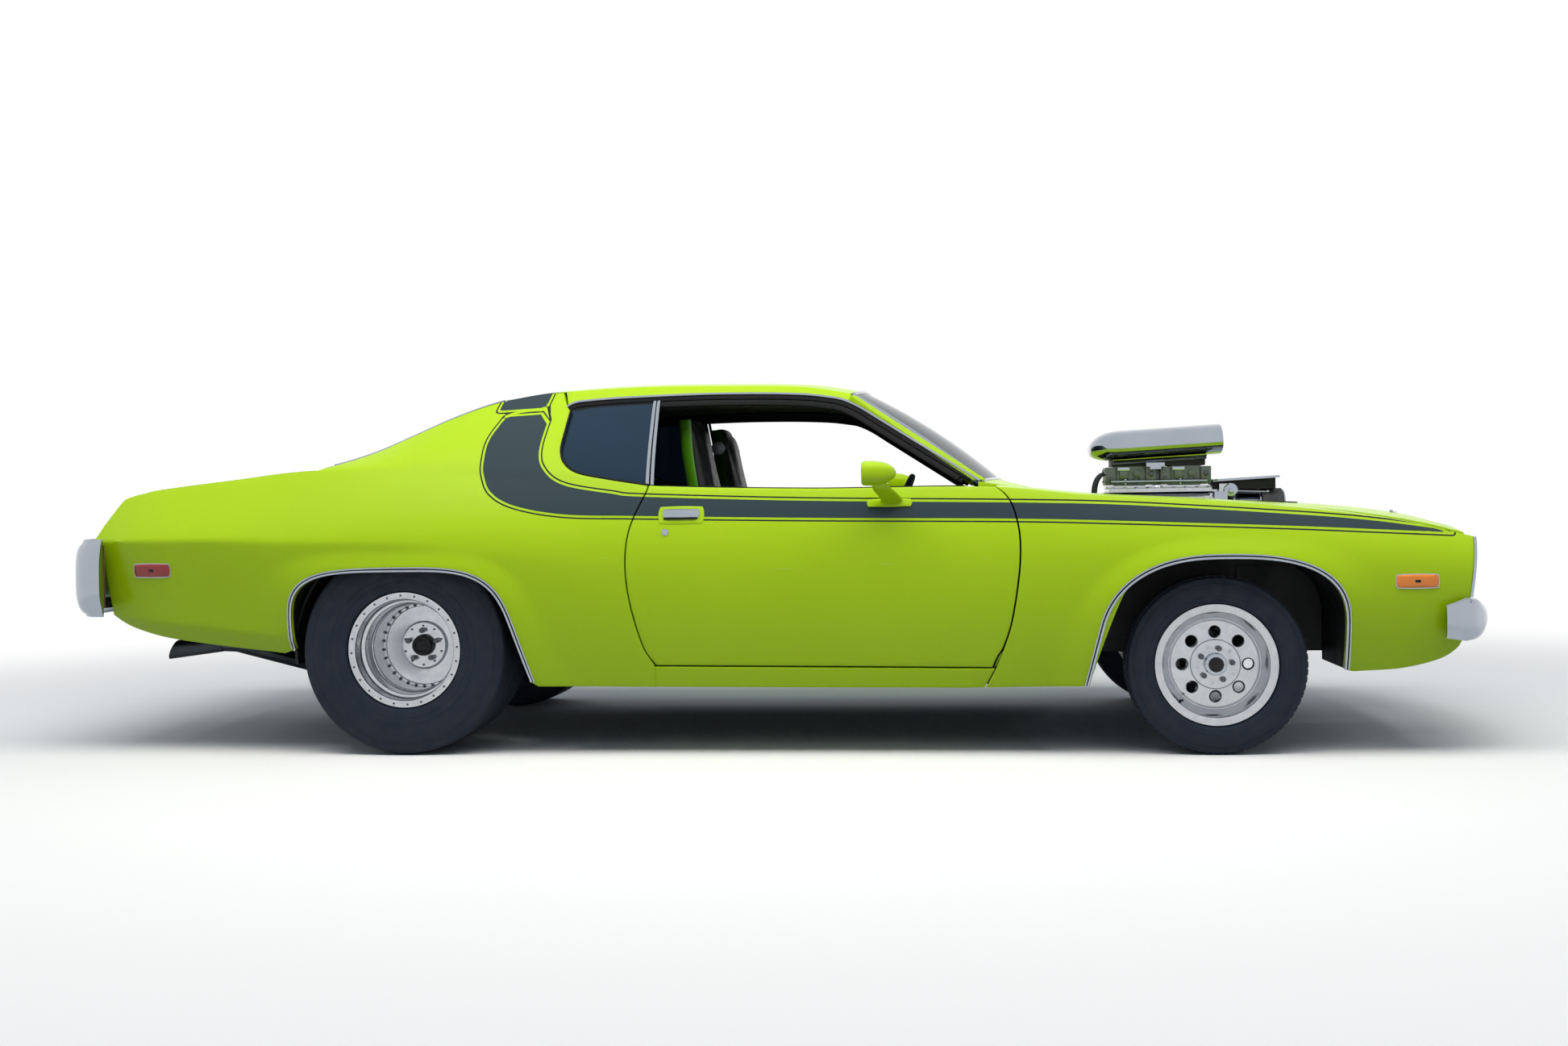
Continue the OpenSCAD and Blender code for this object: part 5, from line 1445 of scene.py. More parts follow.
@dataclass
class Brightwork:
    """Chrome: bumpers, arch mouldings, drip rails, nose edge, handles and mirrors."""

    front_path: tuple = ((2384, -966), (2446, -954), (2508, -904), (2574, -776), (2640, -480), (2670, 0))
    rear_path: tuple = ((-2442, 972), (-2515, 954), (-2588, 872), (-2638, 650), (-2662, 340), (-2670, 0))

    def build(self) -> None:
        """Make every bright piece."""
        self.bumpers()
        self.mouldings()
        for side, s in SIDES:
            self.door_fittings(side, s)

    @staticmethod
    def bar(path: tuple, ring: Callable[[float], list], steps: int = 140) -> list[Array]:
        """Loops of a bumper bar along half a plan line and its mirror image.

        Args:
            path: Half the plan line, from its end to the middle.
            ring: Gives the section at a share of the way to the middle.
            steps: Parts of the line.

        Returns:
            The loops.
        """
        half = list(path)
        line = spaced(curve(half + [(x, -y) for x, y in half[-2::-1]]), steps)
        ahead = np.gradient(line, axis=0)
        out = np.stack([-ahead[:, 1], ahead[:, 0]], axis=1) / np.linalg.norm(ahead, axis=1)[:, None]
        loops = []
        for i in range(steps + 1):
            section = curve(ring(min(i, steps - i) / (steps / 2)), 4, closed=True)
            loops.append(np.column_stack([line[i] + out[i] * section[:, :1], section[:, 1]]))
        return loops

    def bumpers(self) -> None:
        """Front and rear bumper bars with their brackets and bolts."""
        mix = lambda a, b, u: a + (b - a) * u

        def front(share: float) -> list:
            """Section of the front bar, at a share of the way from its end to its middle.

            Args:
                share: The share.

            Returns:
                Outward and height pairs.
            """
            top = np.interp(share, [0, 0.071, 0.143, 0.214, 1], [519, 541, 536, 514, 504])
            low = np.interp(share, [0, 0.071, 0.214, 1], [410, 402, 412, 420])
            d = np.interp(share, [0, 0.143, 0.286, 0.429, 1], [12, 14, 40, 52, 52])
            return [[d * 0.7, low], [min(12, d * 0.4), low + 8], [1.5, low + 40], [1.5, top - 30],
                    [min(10, d * 0.35), top - 6],
                    [d * 0.7, top], [d, top - 8], [d, low + 8]]

        def rear(share: float) -> list:
            """Section of the rear bar."""
            d = mix(26, 58, min(1.0, share * 3.5))
            return [[d * 0.76, 528], [14, 548], [1.5, 600], [1.5, 712], [8, 764], [d * 0.55, 790],
                    [d * 0.9, 788], [d, 540]]

        for name, path, ring, bracket in (("front", self.front_path, front, (2420.3, 2610, 440, 470)),
                                          ("rear", self.rear_path, rear, (-2606, -2400.3, 505, 542))):
            clay = Clay().rings(self.bar(path, ring))
            for s in (-1, 1):
                clay.box((bracket[0], s * 420 - 30, bracket[2]), (bracket[1], s * 420 + 30, bracket[3]), 1)
                if name == "front":
                    clay.lathe(fillet([(0, 0), (9, 0), (9, 4), (6, 8), (0, 9)], 2), upright(2478, s * 931, 528), 24)
                else:
                    clay.box((-2462, s * 934 - 4, 550), (-2440, s * 934 + 4, 784), 2)
            dress(clay.piece(f"bumper_{name}_bar", (Paint.CHROME, Paint.SATIN, Paint.PRIMER), sharp=50), "body",
                  "chrome",
                  f"bumper_{name}")

    @staticmethod
    def mouldings() -> None:
        """Arch lips, drip rails, post trim, nose edge and window strips, on both sides."""
        ln = LINES
        chrome, dark = Clay(), Clay()
        for arch, feet in ((ln.front_arch, (250, 302)), (ln.rear_arch, (392, 270))):
            line = spaced(ln.arch_line(arch, *feet), 110)
            centre = np.array([arch[0], 360])
            outward = line - centre
            outward /= np.linalg.norm(outward, axis=1)[:, None]
            for shift, clay, wide, high in ((14, chrome, 3.2, 3.5), (9.5, dark, 2.6, 2.2), (3, chrome, 4.6, 5)):
                clay.sweep(ln.on_side(line + outward * shift, 0.8), superellipse(wide, high, 2.2, 12), (0, 1, 0))
        xs = np.linspace(-752, 335, 110)
        rail = np.stack([xs, ln.side_y(xs, ln.drip(xs)) + 2, ln.drip(xs) + 2], axis=1)
        post = np.linspace([335, rail[-1, 1], rail[-1, 2]], [812, 757, 975], 40)[1:]
        rail_path = curve(np.concatenate([[[-770, 640, 1266]], rail[4::6], post[2::6]]), 5)
        chrome.sweep(rail_path, superellipse(5.5, 5, 2.5, 12), (0, 0.75, 0.66))
        ahead = np.gradient(rail_path, axis=0)
        under = np.stack([ahead[:, 2], np.hypot(ahead[:, 0], ahead[:, 2]) * 0.3, -ahead[:, 0]], axis=1)
        under /= np.hypot(under[:, 0], under[:, 2])[:, None]
        for shift, half, deep, high in ((13, 9, 7, 7), (34, 11, 7, 7), (24, 19, 13, 4)):
            bead = rail_path + under * shift - [0, deep, 0]
            dark.sweep(bead[(bead[:, 2] > 975) | (bead[:, 0] < 0)], superellipse(half, high, 3.4, 12), (0, 1, 0.3))
        nose = np.linspace([2478, 546], [2508, 748], 24)
        chrome.sweep(ln.on_side(nose, -2), superellipse(6, 8, 2.5, 16), (0, 1, 0))
        for x0, x1 in ((-390, -405), (-372, -390)):
            strip = np.array([[x0 + (x1 - x0) * t, 976 + (ln.drip(x1) - 18 - 976) * t]
                              for t in np.linspace(0, 1, 24)])
            chrome.sweep(ln.on_side(strip, -10), superellipse(6.5, 4, 2.5, 12), (0, 1, 0))
        window = spaced(BodyPanels.window_line(), 80)
        dark.sweep(ln.on_side(window + [3, 3], -6), superellipse(4, 9, 3, 12), (0, 1, 0))
        belt = np.linspace(-378, 800, 60)
        dark.sweep(np.stack([belt, ln.at(belt, Col.Y_BELT) - 40, ln.at(belt, Col.Z_BELT) + 0.5], axis=1)[2:-2],
                   superellipse(10, 3.5, 3, 12), (0, 0, 1))
        for name, clay, finish, slot in (("bright_mouldings", chrome, Paint.CHROME, "chrome"),
                                         ("weatherstrips", dark, Paint.RUBBER, "black")):
            whole = Clay()
            whole.take(np.concatenate(clay.points), clay.faces)
            whole.take(np.concatenate(clay.points) * [1, -1, 1], clay.faces)
            dress(whole.piece(name, (finish,)), "body", slot)

    @staticmethod
    def door_fittings(side: str, s: float) -> None:
        """Handle, lock and mirror of a door.

        Args:
            side: Name of the side.
            s: 1 for left, -1 for right.
        """
        ln = LINES
        clay = Clay()
        for box, height, slot in (((-340, -174, 834, 898), 3, 1), ((-324, -190, 856, 889), 14, 0),
                                  ((-322, -196, 850, 858), 8, 2)):
            clay.shell(*pad(*box, height), (slot, slot, slot))
        y = float(ln.side_y(-314, 805))
        clay.lathe(fillet([(0, -0.5), (13, -0.5), (13, 4), (9, 6), (0, 6)], 1.5), turned(-314, y, 805), 32)
        base = float(ln.side_y(490, 905))
        clay.shell(*pad(410, 570, 884, 914, 9), (1, 1, 1))
        loops = []
        for x, a, b in ((402, 30, 22), (402.5, 56, 40), (412, 59, 43), (440, 59, 43), (470, 56, 40), (494, 46, 32),
                        (510, 31, 21), (518, 15, 10), (520, 3, 2)):
            ring = superellipse(a, b, 2.7, 40)
            loops.append(np.column_stack([np.full(40, x), base + 128 + ring[:, 0], 1002 + ring[:, 1]]))
        clay.rings(loops, 1)
        face = superellipse(53, 37, 2.7, 40)
        glass = [np.column_stack([np.full(40, x), base + 128 + face[:, 0] * k, 1002 + face[:, 1] * k])
                 for x, k in ((403, 1), (401, 1), (400.6, 0.97))]
        clay.rings(glass, 3)
        stem = curve([[500, base + 4, 905], [488, base + 34, 925], [466, base + 78, 950],
                      [456, base + 104, 972]], 8)
        clay.sweep(stem, superellipse(9, 34, 2.6, 28), (1, 0, 0), 1, size=np.linspace(1.15, 0.75, len(stem)))
        finishes = (Paint.CHROME, Paint.LIME, Paint.SATIN, Paint.CHROME)
        dress(clay.mirrored(s).piece(f"door_fittings_{side}", finishes), f"door_{side}", "chrome",
              f"mirrors_handles_{side}")


class Glazing:
    """Windshield, rear window and quarter glass."""

    @staticmethod
    def build() -> None:
        """Make the panes."""
        ln = LINES
        u = np.linspace(1, -1, 61)
        foot = np.stack([903 - 82 * u * u, 712 * u, 990 - 16 * u * u], axis=1)
        y = 548 * u
        head = np.stack([335 + 40 * (1 - np.minimum(1, np.abs(y) / 560) ** 2) + 6, y, ln.top_z(334, y) - 7], axis=1)
        rows = []
        for w in np.linspace(1, 0, 24):
            bow = (4 * w * (1 - w) * (1 - u * u * 0.6))[:, None] * [10, 0, 18]
            rows.append(foot * (1 - w) + head * w + bow + [-0.3, 0, 0.2])
        outer = np.array(rows)
        dress(Clay().shell(outer, outer - [4, 0, 5], (0, 0, 0)).piece("windshield_pane", (Paint.GLASS,)),
              "body", "glass", "windshield")
        trim = Clay()
        for path, out in ((outer[0], (1, 0, 1)), (outer[-1], (0.5, 0, 1)), (outer[:, 0], (0, 1, 0.6)),
                          (outer[:, -1], (0, -1, 0.6))):
            trim.sweep(path + [0, 0, 2], superellipse(8, 4, 2.6, 14), out)
        rear = []
        for x in np.linspace(-1599.7, -1000.3, 40):
            e = float(ln.edge_y(x)) - ln.skin - 3 * ln.join_gap
            ys = np.linspace(e, -e, 60)
            rear.append(np.stack([np.full(60, x), ys, ln.top_z(x, ys)], axis=1))
        outer = np.array(rear)
        dress(Clay().shell(outer, outer - [0, 0, 6], (0, 0, 0)).piece("rear_window_pane", (Paint.TINT,)),
              "body", "glass", "rear_window")
        for path, out in ((outer[0], (0, 0, 1)), (outer[-1], (0, 0, 1)), (outer[:, 0], (0, 0, 1)),
                          (outer[:, -1], (0, 0, 1))):
            trim.sweep(path + [0, 0, 1], superellipse(8, 4, 2.6, 14), out)
        dress(trim.piece("glass_mouldings", (Paint.CHROME,)), "body", "chrome")
        line = spaced(BodyPanels.window_line(), 60) + [0.5, 0.5]
        corner = 24
        rise, low = line[corner::-1], line[corner:]
        xs = np.linspace(rise[-1, 0], -402, len(low))
        high = np.stack([xs, ln.drip(xs) - 5], axis=1)
        high[0] = rise[-1]
        fore = low[-1] + (high[-1] - low[-1]) * np.linspace(0, 1, len(rise))[:, None]
        outer = ln.on_side(patch(low, high, rise, fore), -16)
        both = Clay()
        for _, s in SIDES:
            both.shell(outer * [1, s, 1], (outer - [0, 5, 0]) * [1, s, 1], (0, 0, 0))
        dress(both.piece("quarter_panes", (Paint.TINT,)), "body", "glass", "quarter_glass")


class Lamps:
    """Side markers, tail lamps, headlamps and grille."""

    @staticmethod
    def build() -> None:
        """Make every lamp and the grille."""
        clay = Clay()
        for _, s in SIDES:
            one = Clay()
            for slot, x0, x1, z0, z1 in ((0, -2328, -2181, 663, 712), (1, 2220, 2366, 581, 627)):
                one.shell(*pad(x0 - 3, x1 + 3, z0 - 3, z1 + 3, 3), (2, 2, 2))
                one.shell(*pad(x0, x1, z0, z1, 8), (slot, slot, slot))
                middle = ((x0 + x1) / 2, (z0 + z1) / 2)
                one.shell(*pad(middle[0] - 14, middle[0] + 14, middle[1] - 7, middle[1] + 7, 8.6, 6), (3, 3, 3))
            both = one.mirrored(s)
            for k in range(4):
                clay.take(np.concatenate(both.points), [f for f, q in zip(both.faces, both.slots) if q == k], k)
        dress(clay.piece("side_marker_lamps", (Paint.RED, Paint.AMBER, Paint.CHROME, Paint.SATIN)), "body",
              "lens", "side_markers")
        tail = Clay()
        ys, zs = np.linspace(742, 238, 40), np.linspace(810, 914, 14)
        y, z = np.meshgrid(ys, zs, indexing="ij")
        x = BodyPanels.tail_x(z, y)
        rib = 1.2 * np.abs(np.sin((z - 810) / 104 * math.pi * 5))
        outer = np.stack([x - 8 - rib, y, z], axis=-1)
        inner = np.stack([x - 0.3, y, z], axis=-1)
        for _, s in SIDES:
            tail.shell(outer * [1, s, 1], inner * [1, s, 1], (0, 0, 0))
            rim = np.concatenate([outer[:, 0], outer[-1, 1:], outer[-2::-1, -1], outer[0, -2:0:-1]])
            tail.sweep(rim * [1, s, 1] - [1, 0, 0], superellipse(5, 5, 2.4, 12), (-1, 0, 0), 1, closed=True)
        dress(tail.piece("tail_lamp_lenses", (Paint.RED, Paint.CHROME)), "body", "lens", "tail_lamps")
        Lamps.front()

    @staticmethod
    def front() -> None:
        """Grille bars, chrome surround and four headlamps."""
        nose = BodyPanels.nose_x
        ys = np.linspace(-420, 420, 40)
        slat = Clay().sweep(np.stack([nose(650, ys) - 32, ys, np.full(40, 588)], axis=1),
                            superellipse(2.4, 10, 3, 12), (1, 0, 0))
        grille = Clay().mesh(Repeat.grow(slat, 14, step=(0, 0, 8.5)), upright(0, 0, 0))
        for y in (-415, -140, 140, 415):
            x = float(nose(650, y))
            grille.box((x - 50, y - 6, 574.3), (x - 22, y + 6, 705.7), 1)
        grille.box((2440, -759.7, 574.3), (2452, 759.7, 705.7), 1)
        dress(grille.piece("grille_bars", (Paint.SATIN, Paint.SATIN)), "body", "black", "grille")
        edge = Clay()
        y = np.concatenate([np.linspace(-752, 752, 60), np.full(8, 756), np.linspace(752, -752, 60),
                            np.full(8, -756)])
        z = np.concatenate([np.full(60, 578), np.linspace(586, 694, 8), np.full(60, 702), np.linspace(694, 586, 8)])
        edge.sweep(np.stack([nose(z, y) - 1, y, z], axis=1), superellipse(6, 6, 2.4, 14), (1, 0, 0), closed=True)
        dress(edge.piece("grille_surround", (Paint.CHROME,)), "body", "chrome")
        lamps = Clay()
        for s in (-1, 1):
            for y in (510, 672):
                x = float(nose(650, y)) - 34
                lamps.lathe(fillet([(58, 0), (64, 0), (64, 40), (61, 44), (58, 40)], 1.5),
                            along_x(x, s * y, 640), 64)
                lamps.lathe([(0, -24), (30, -18), (57, 0), (57, 1), (0, -20)], along_x(x, s * y, 640), 64)
                dome = [(58, 0)] + [(58 * math.cos(g), 4 + 11 * math.sin(g))
                                    for g in np.linspace(0.05, math.pi / 2, 10)]
                lamps.lathe(dome + [(0, 0)], along_x(x, s * y, 640), 64, 1)
                lamps.rod((2452.3, s * y, 640), (x - 20, s * y, 640), 52, 2, 40)
        dress(lamps.piece("headlamp_set", (Paint.CHROME, Paint.CLEAR, Paint.SATIN)), "body", "chrome", "headlamps")


@dataclass
class Wheels:
    """Turned rims with their bolts, and tyres."""

    bead: float = 190
    front: tuple = (FRONT_AXLE, 886, 314, 180)
    rear: tuple = (REAR_AXLE, 922, 386, 372)
    dish: float = 240
    rim_steps: int = 96
    tyre_steps: int = 120

    def build(self) -> None:
        """Make four wheels and four tyres."""
        front, rear = self.front_rim(), self.rear_rim()
        for side, s in SIDES:
            for end, place, rim in (("front", self.front, front), ("rear", self.rear, rear)):
                x, plane, radius, _ = place
                clay = Clay()
                for mesh, slot in rim:
                    clay.mesh(mesh, turned(x, plane, radius, s), slot)
                obj = clay.piece(f"rim_{end}_{side}", (Paint.POLISHED, Paint.STEEL, Paint.SATIN, Paint.CHROME),
                                 sharp=28)
                dress(obj, f"{end}_{side}", "wheel", f"wheel_{end}_{side}")
                self.tyre(end, side, s)

    def front_rim(self) -> list[tuple[bpy.types.Mesh, int]]:
        """Front rim with eight countersunk holes, lug nuts and a plain cap, about +Z.

        Returns:
            Meshes in millimetres with their material numbers.
        """
        b, w = self.bead, self.front[3] - 50
        profile = fillet([(30.08, -80), (85, -80), (85, -58), (150, -66), (164, -72), (164, -84), (b - 14, -w + 14),
                          (b - 10, -w), (b + 24, -w), (b + 24, -w + 6), (b + 6, -w + 9), (b, -w + 14), (b, -w + 34),
                          (b - 17, -w + 44), (b - 17, -42), (b, -34), (b, -14), (b + 6, -9), (b + 24, -6),
                          (b + 24, 0),
                          (b + 16, 0), (b - 4, -8), (b - 16, -30), (160, -54), (152, -48), (88, -40), (85, -34),
                          (30.08, -34)], 4)
        rim = Clay().lathe(profile, upright(0, 0, 0), self.rim_steps).piece("front_rim_blank", ())
        holes = Clay()
        for k in range(8):
            g = math.radians(45 * k)
            holes.lathe([(0, -120), (17.5, -120), (17.5, -50), (25, -40), (25, 10), (0, 10)],
                        upright(116 * math.cos(g), 116 * math.sin(g), 0), 40)
        for k in range(5):
            g = math.radians(72 * k + 43)
            holes.lathe([(0, -44), (6.5, -44), (6.5, 0), (0, 0)],
                        upright(66 * math.cos(g), 66 * math.sin(g), 0), 24)
        self.cut(rim, holes)
        cap = Clay().lathe(fillet([(0, -33), (40, -33), (40, -30), (38, -16), (27, -13), (26, -14.5),
                                   (0, -14.5)], 2),
                           upright(0, 0, 0), 64).piece("front_cap", ())
        disc = Clay().lathe([(0, -14.4), (26, -14.4), (26, -13.8), (0, -13.4)], upright(0, 0, 0),
                            48).piece("front_disc", ())
        out = [(self.loose(rim), 0), (self.loose(cap), 3), (self.loose(disc), 2)]
        nuts = Repeat.grow(bolt(10.5, 22), 5, 57.15)
        nuts.transform(Matrix.Rotation(math.radians(7), 4, "Z") @ Matrix.Translation((0, 0, -35)))
        g = math.radians(226)
        stem = Clay().rod((176 * math.cos(g), 176 * math.sin(g), -34),
                          (172 * math.cos(g), 172 * math.sin(g), -6), 4.5,
                          sides=16).piece("valve_stem", ())
        return out + [(nuts, 1), (self.loose(stem), 2)]

    def rear_rim(self) -> list[tuple[bpy.types.Mesh, int]]:
        """Deep rear rim with flange screws, bolt ring, lug nuts and spool hub, about +Z.

        Returns:
            Meshes in millimetres with their material numbers.
        """
        b, w, d = self.bead, self.rear[3] - 36, -self.dish
        profile = fillet([(34.08, d - 20), (165, d - 20), (165, -w + 24), (b - 12, -w + 10), (b - 10, -w),
                          (b + 22, -w),
                          (b + 22, -w + 6), (b + 4, -w + 9), (b, -w + 14), (b, -w + 40), (b - 15, -w + 54),
                          (b - 15, -62),
                          (b, -50), (b, -15), (b + 4, -9), (b + 22, -6), (b + 22, 0), (b - 2, 0), (b - 5, -6),
                          (b - 8, -54),
                          (b - 21, -62), (b - 23, -120), (160, -126), (158, d + 12), (150, d + 12), (150, d),
                          (90, d),
                          (86, d + 18), (34.08, d + 17)], 4)
        rim = Clay().lathe(profile, upright(0, 0, 0), self.rim_steps).piece("rear_rim_blank", ())
        hub = Clay().lathe(fillet([(0, d + 17), (40, d + 17), (40, d + 26), (36, d + 44), (24, d + 46),
                                   (22, d + 40), (0, d + 40)], 2),
                           upright(0, 0, 0), 48).piece("spool_hub", ())
        out = [(self.loose(rim), 0), (self.loose(hub), 2)]
        for count, circle, radius, height, level in ((24, b + 10, 4.2, 2.2, -0.6), (30, 154, 5, 9, d + 12),
                                                     (5, 57.15, 10.5, 26, d + 17), (10, 74, 4, 6, d + 17)):
            ring = Repeat.grow(bolt(radius, height, 6 if radius > 4.5 else 10), count, circle)
            ring.transform(Matrix.Rotation(math.radians(18), 4, "Z") @ Matrix.Translation((0, 0, level)))
            out.append((ring, 1))
        return out

    @staticmethod
    def cut(obj: bpy.types.Object, cutter: Clay) -> None:
        """Take one shape out of another.

        Args:
            obj: The shape that is cut.
            cutter: What is taken out.
        """
        tool = cutter.piece("cutter", ())
        step = obj.modifiers.new("cut", "BOOLEAN")
        step.operation, step.solver, step.object = "DIFFERENCE", "EXACT", tool
        bake(obj)
        bpy.data.objects.remove(tool)

    @staticmethod
    def loose(obj: bpy.types.Object) -> bpy.types.Mesh:
        """Take the mesh of an object in millimetres, and remove the object.

        Args:
            obj: The object.

        Returns:
            Its mesh.
        """
        mesh = obj.data
        mesh.transform(Matrix.Scale(1 / MM, 4))
        bpy.data.objects.remove(obj)
        return mesh

    def tyre(self, end: str, side: str, s: float) -> None:
        """A tyre: road tread in front, a slick behind.

        Args:
            end: front or rear.
            side: Name of the side.
            s: 1 for left, -1 for right.
        """
        x, plane, r, w = self.front if end == "front" else self.rear
        rim = w - (50 if end == "front" else 36)
        sh = 20 if end == "front" else 26
        b, h = self.bead, r - self.bead
        half = [(b + 0.3, rim / 2 - 17), (b + 6.5, rim / 2 - 10.5), (b + 25, rim / 2 - 7.5), (b + 31, w / 2 - 7),
                (b + h * 0.36, w / 2 - 1.5), (b + h * 0.5, w / 2), (b + h * 0.66, w / 2 - 2), (r - sh, w / 2 - 9),
                (r - sh * 0.36, w / 2 - 9 - sh * 0.3), (r - 4, w / 2 - 9 - sh)]
        flank = curve(half, 5)
        edge = flank[-1][1]
        floor = r - (7 if end == "front" else 0)
        tread = [(floor, edge - 3)]
        if end == "rear":
            tread = [(r - 4 + 3.95 * t, edge * (1 - 0.45 * t)) for t in (0.25, 0.5, 0.75, 1)]
        right = [tuple(p) for p in flank] + tread
        profile = [(p[0], p[1] - rim / 2) for p in right + [(p[0], -p[1]) for p in reversed(right)]]
        clay = Clay().lathe(profile, turned(x, plane, r, s), self.tyre_steps)
        for level, out in ((b + h * 0.3, 0.8), (b + h * 0.42, 0.8), (b + h * 0.78, 0.9)):
            y = float(np.interp(level, flank[:, 0], flank[:, 1])) - rim / 2
            clay.lathe([(level - 1.2, y - 1), (level, y + out), (level + 1.2, y - 1)], turned(x, plane, r, s),
                       self.tyre_steps)
        if end == "front":
            self.tread(clay, turned(x, plane - rim / 2, r, s), r, edge)
        dress(clay.piece(f"tyre_{end}_{side}_rubber", (Paint.TYRE,)), f"{end}_{side}", "tyre", f"tyre_{end}_{side}")

    @staticmethod
    def tread(clay: Clay, place: Callable[[Array], Array], radius: float, edge: float) -> None:
        """Put rows of tread blocks on a tyre, the outer ones leaning with the shoulder.

        Args:
            clay: The tyre.
            place: Carries points about +Z to the tyre's middle plane.
            radius: Of the tread's top.
            edge: Half-width of the flat tread.
        """
        rows = ((0, 9, 0, 4), (0.42, 9, 1, 4), (-0.42, 9, 1, 4), (0.84, 8, 0, 4.5), (-0.84, 8, 0, 4.5),
                (1.13, 6, 1, 6), (-1.13, 6, 1, 6))
        for share, half, odd, sink in rows:
            block = Clay().box((-4.5, -10.2, -half), (3.7 if abs(share) < 1 else 3, 10.2, half))
            lean = 0 if abs(share) < 1 else math.copysign(0.35, share)
            turn = np.array([[math.cos(lean), 0, -math.sin(lean)], [0, 1, 0], [math.sin(lean), 0, math.cos(lean)]])
            block.points = [p @ turn.T for p in block.points]
            ring = Repeat.grow(block, 72, radius - sink - (0 if abs(share) < 1 else 3))
            ring.transform(Matrix.Translation((0, 0, edge * share)) @ Matrix.Rotation(math.radians(2.5 * odd),
                                                                                      4, "Z"))
            clay.mesh(ring, place)


@dataclass
class WheelWells:
    """Black liners that close the wheel wells behind the arch lips, and the radiator with the hood's pins."""

    wall: float = 3
    grow: float = 8
    front_inside: float = 520
    rear_inside: float = 566

    def build(self) -> None:
        """Make the liners and the radiator."""
        ln = LINES
        clay = Clay()
        for arch, feet, inside in ((ln.front_arch, (250, 300), self.front_inside),
                                   (ln.rear_arch, (392, 268), self.rear_inside)):
            line = spaced(ln.arch_line(arch, *feet), 90)
            away = line - [arch[0], 300]
            away /= np.linalg.norm(away, axis=1)[:, None]
            rows = []
            for lift in (self.grow, self.grow + self.wall):
                edge = line + away * lift
                y = ln.side_y(edge[:, 0], edge[:, 1]) - ln.skin - 1
                rows.append(np.array([np.column_stack([edge[:, 0], y + (inside - y) * t, edge[:, 1]])
                                      for t in np.linspace(0, 1, 6)]))
            for _, s in SIDES:
                clay.shell(rows[0] * [1, s, 1], rows[1] * [1, s, 1], (0, 0, 0))
        for _, s in SIDES:
            y = sorted((s * self.front_inside, s * (self.front_inside + self.wall)))
            for x0, x1 in ((FRONT_AXLE - 400, FRONT_AXLE - 130), (FRONT_AXLE + 130, FRONT_AXLE + 438)):
                clay.box((x0, y[0], 332), (x1, y[1], 684 - 0.12 * (x1 - x0)))
        dress(clay.piece("wheel_well_liners", (Paint.SATIN,)), "body", "black")
        core = Clay().box((2325, -500, 400.3), (2378, 500, 470), 1).box((2332, -360, 470), (2371, 360, 690))
        for low, high in ((470, 486), (676, 700)):
            core.box((2325, -360, low), (2378, 360, high), 1)
        for x in (2331, 2368):
            core.mesh(Repeat.grow(Clay().box((x, -352, 488), (x + 4, -346, 674)), 40, step=(0, 17.9, 0)),
                      upright(0, 0, 0))
        for s in (-1, 1):
            core.rod((2345, s * 400, 430), (2345, s * 400, float(ln.hood_z(2345, 400)) + 9), 6, 2, 20)
        dress(core.piece("radiator_core", (Paint.SATIN, Paint.SATIN, Paint.CHROME)), "body", "black", "radiator")


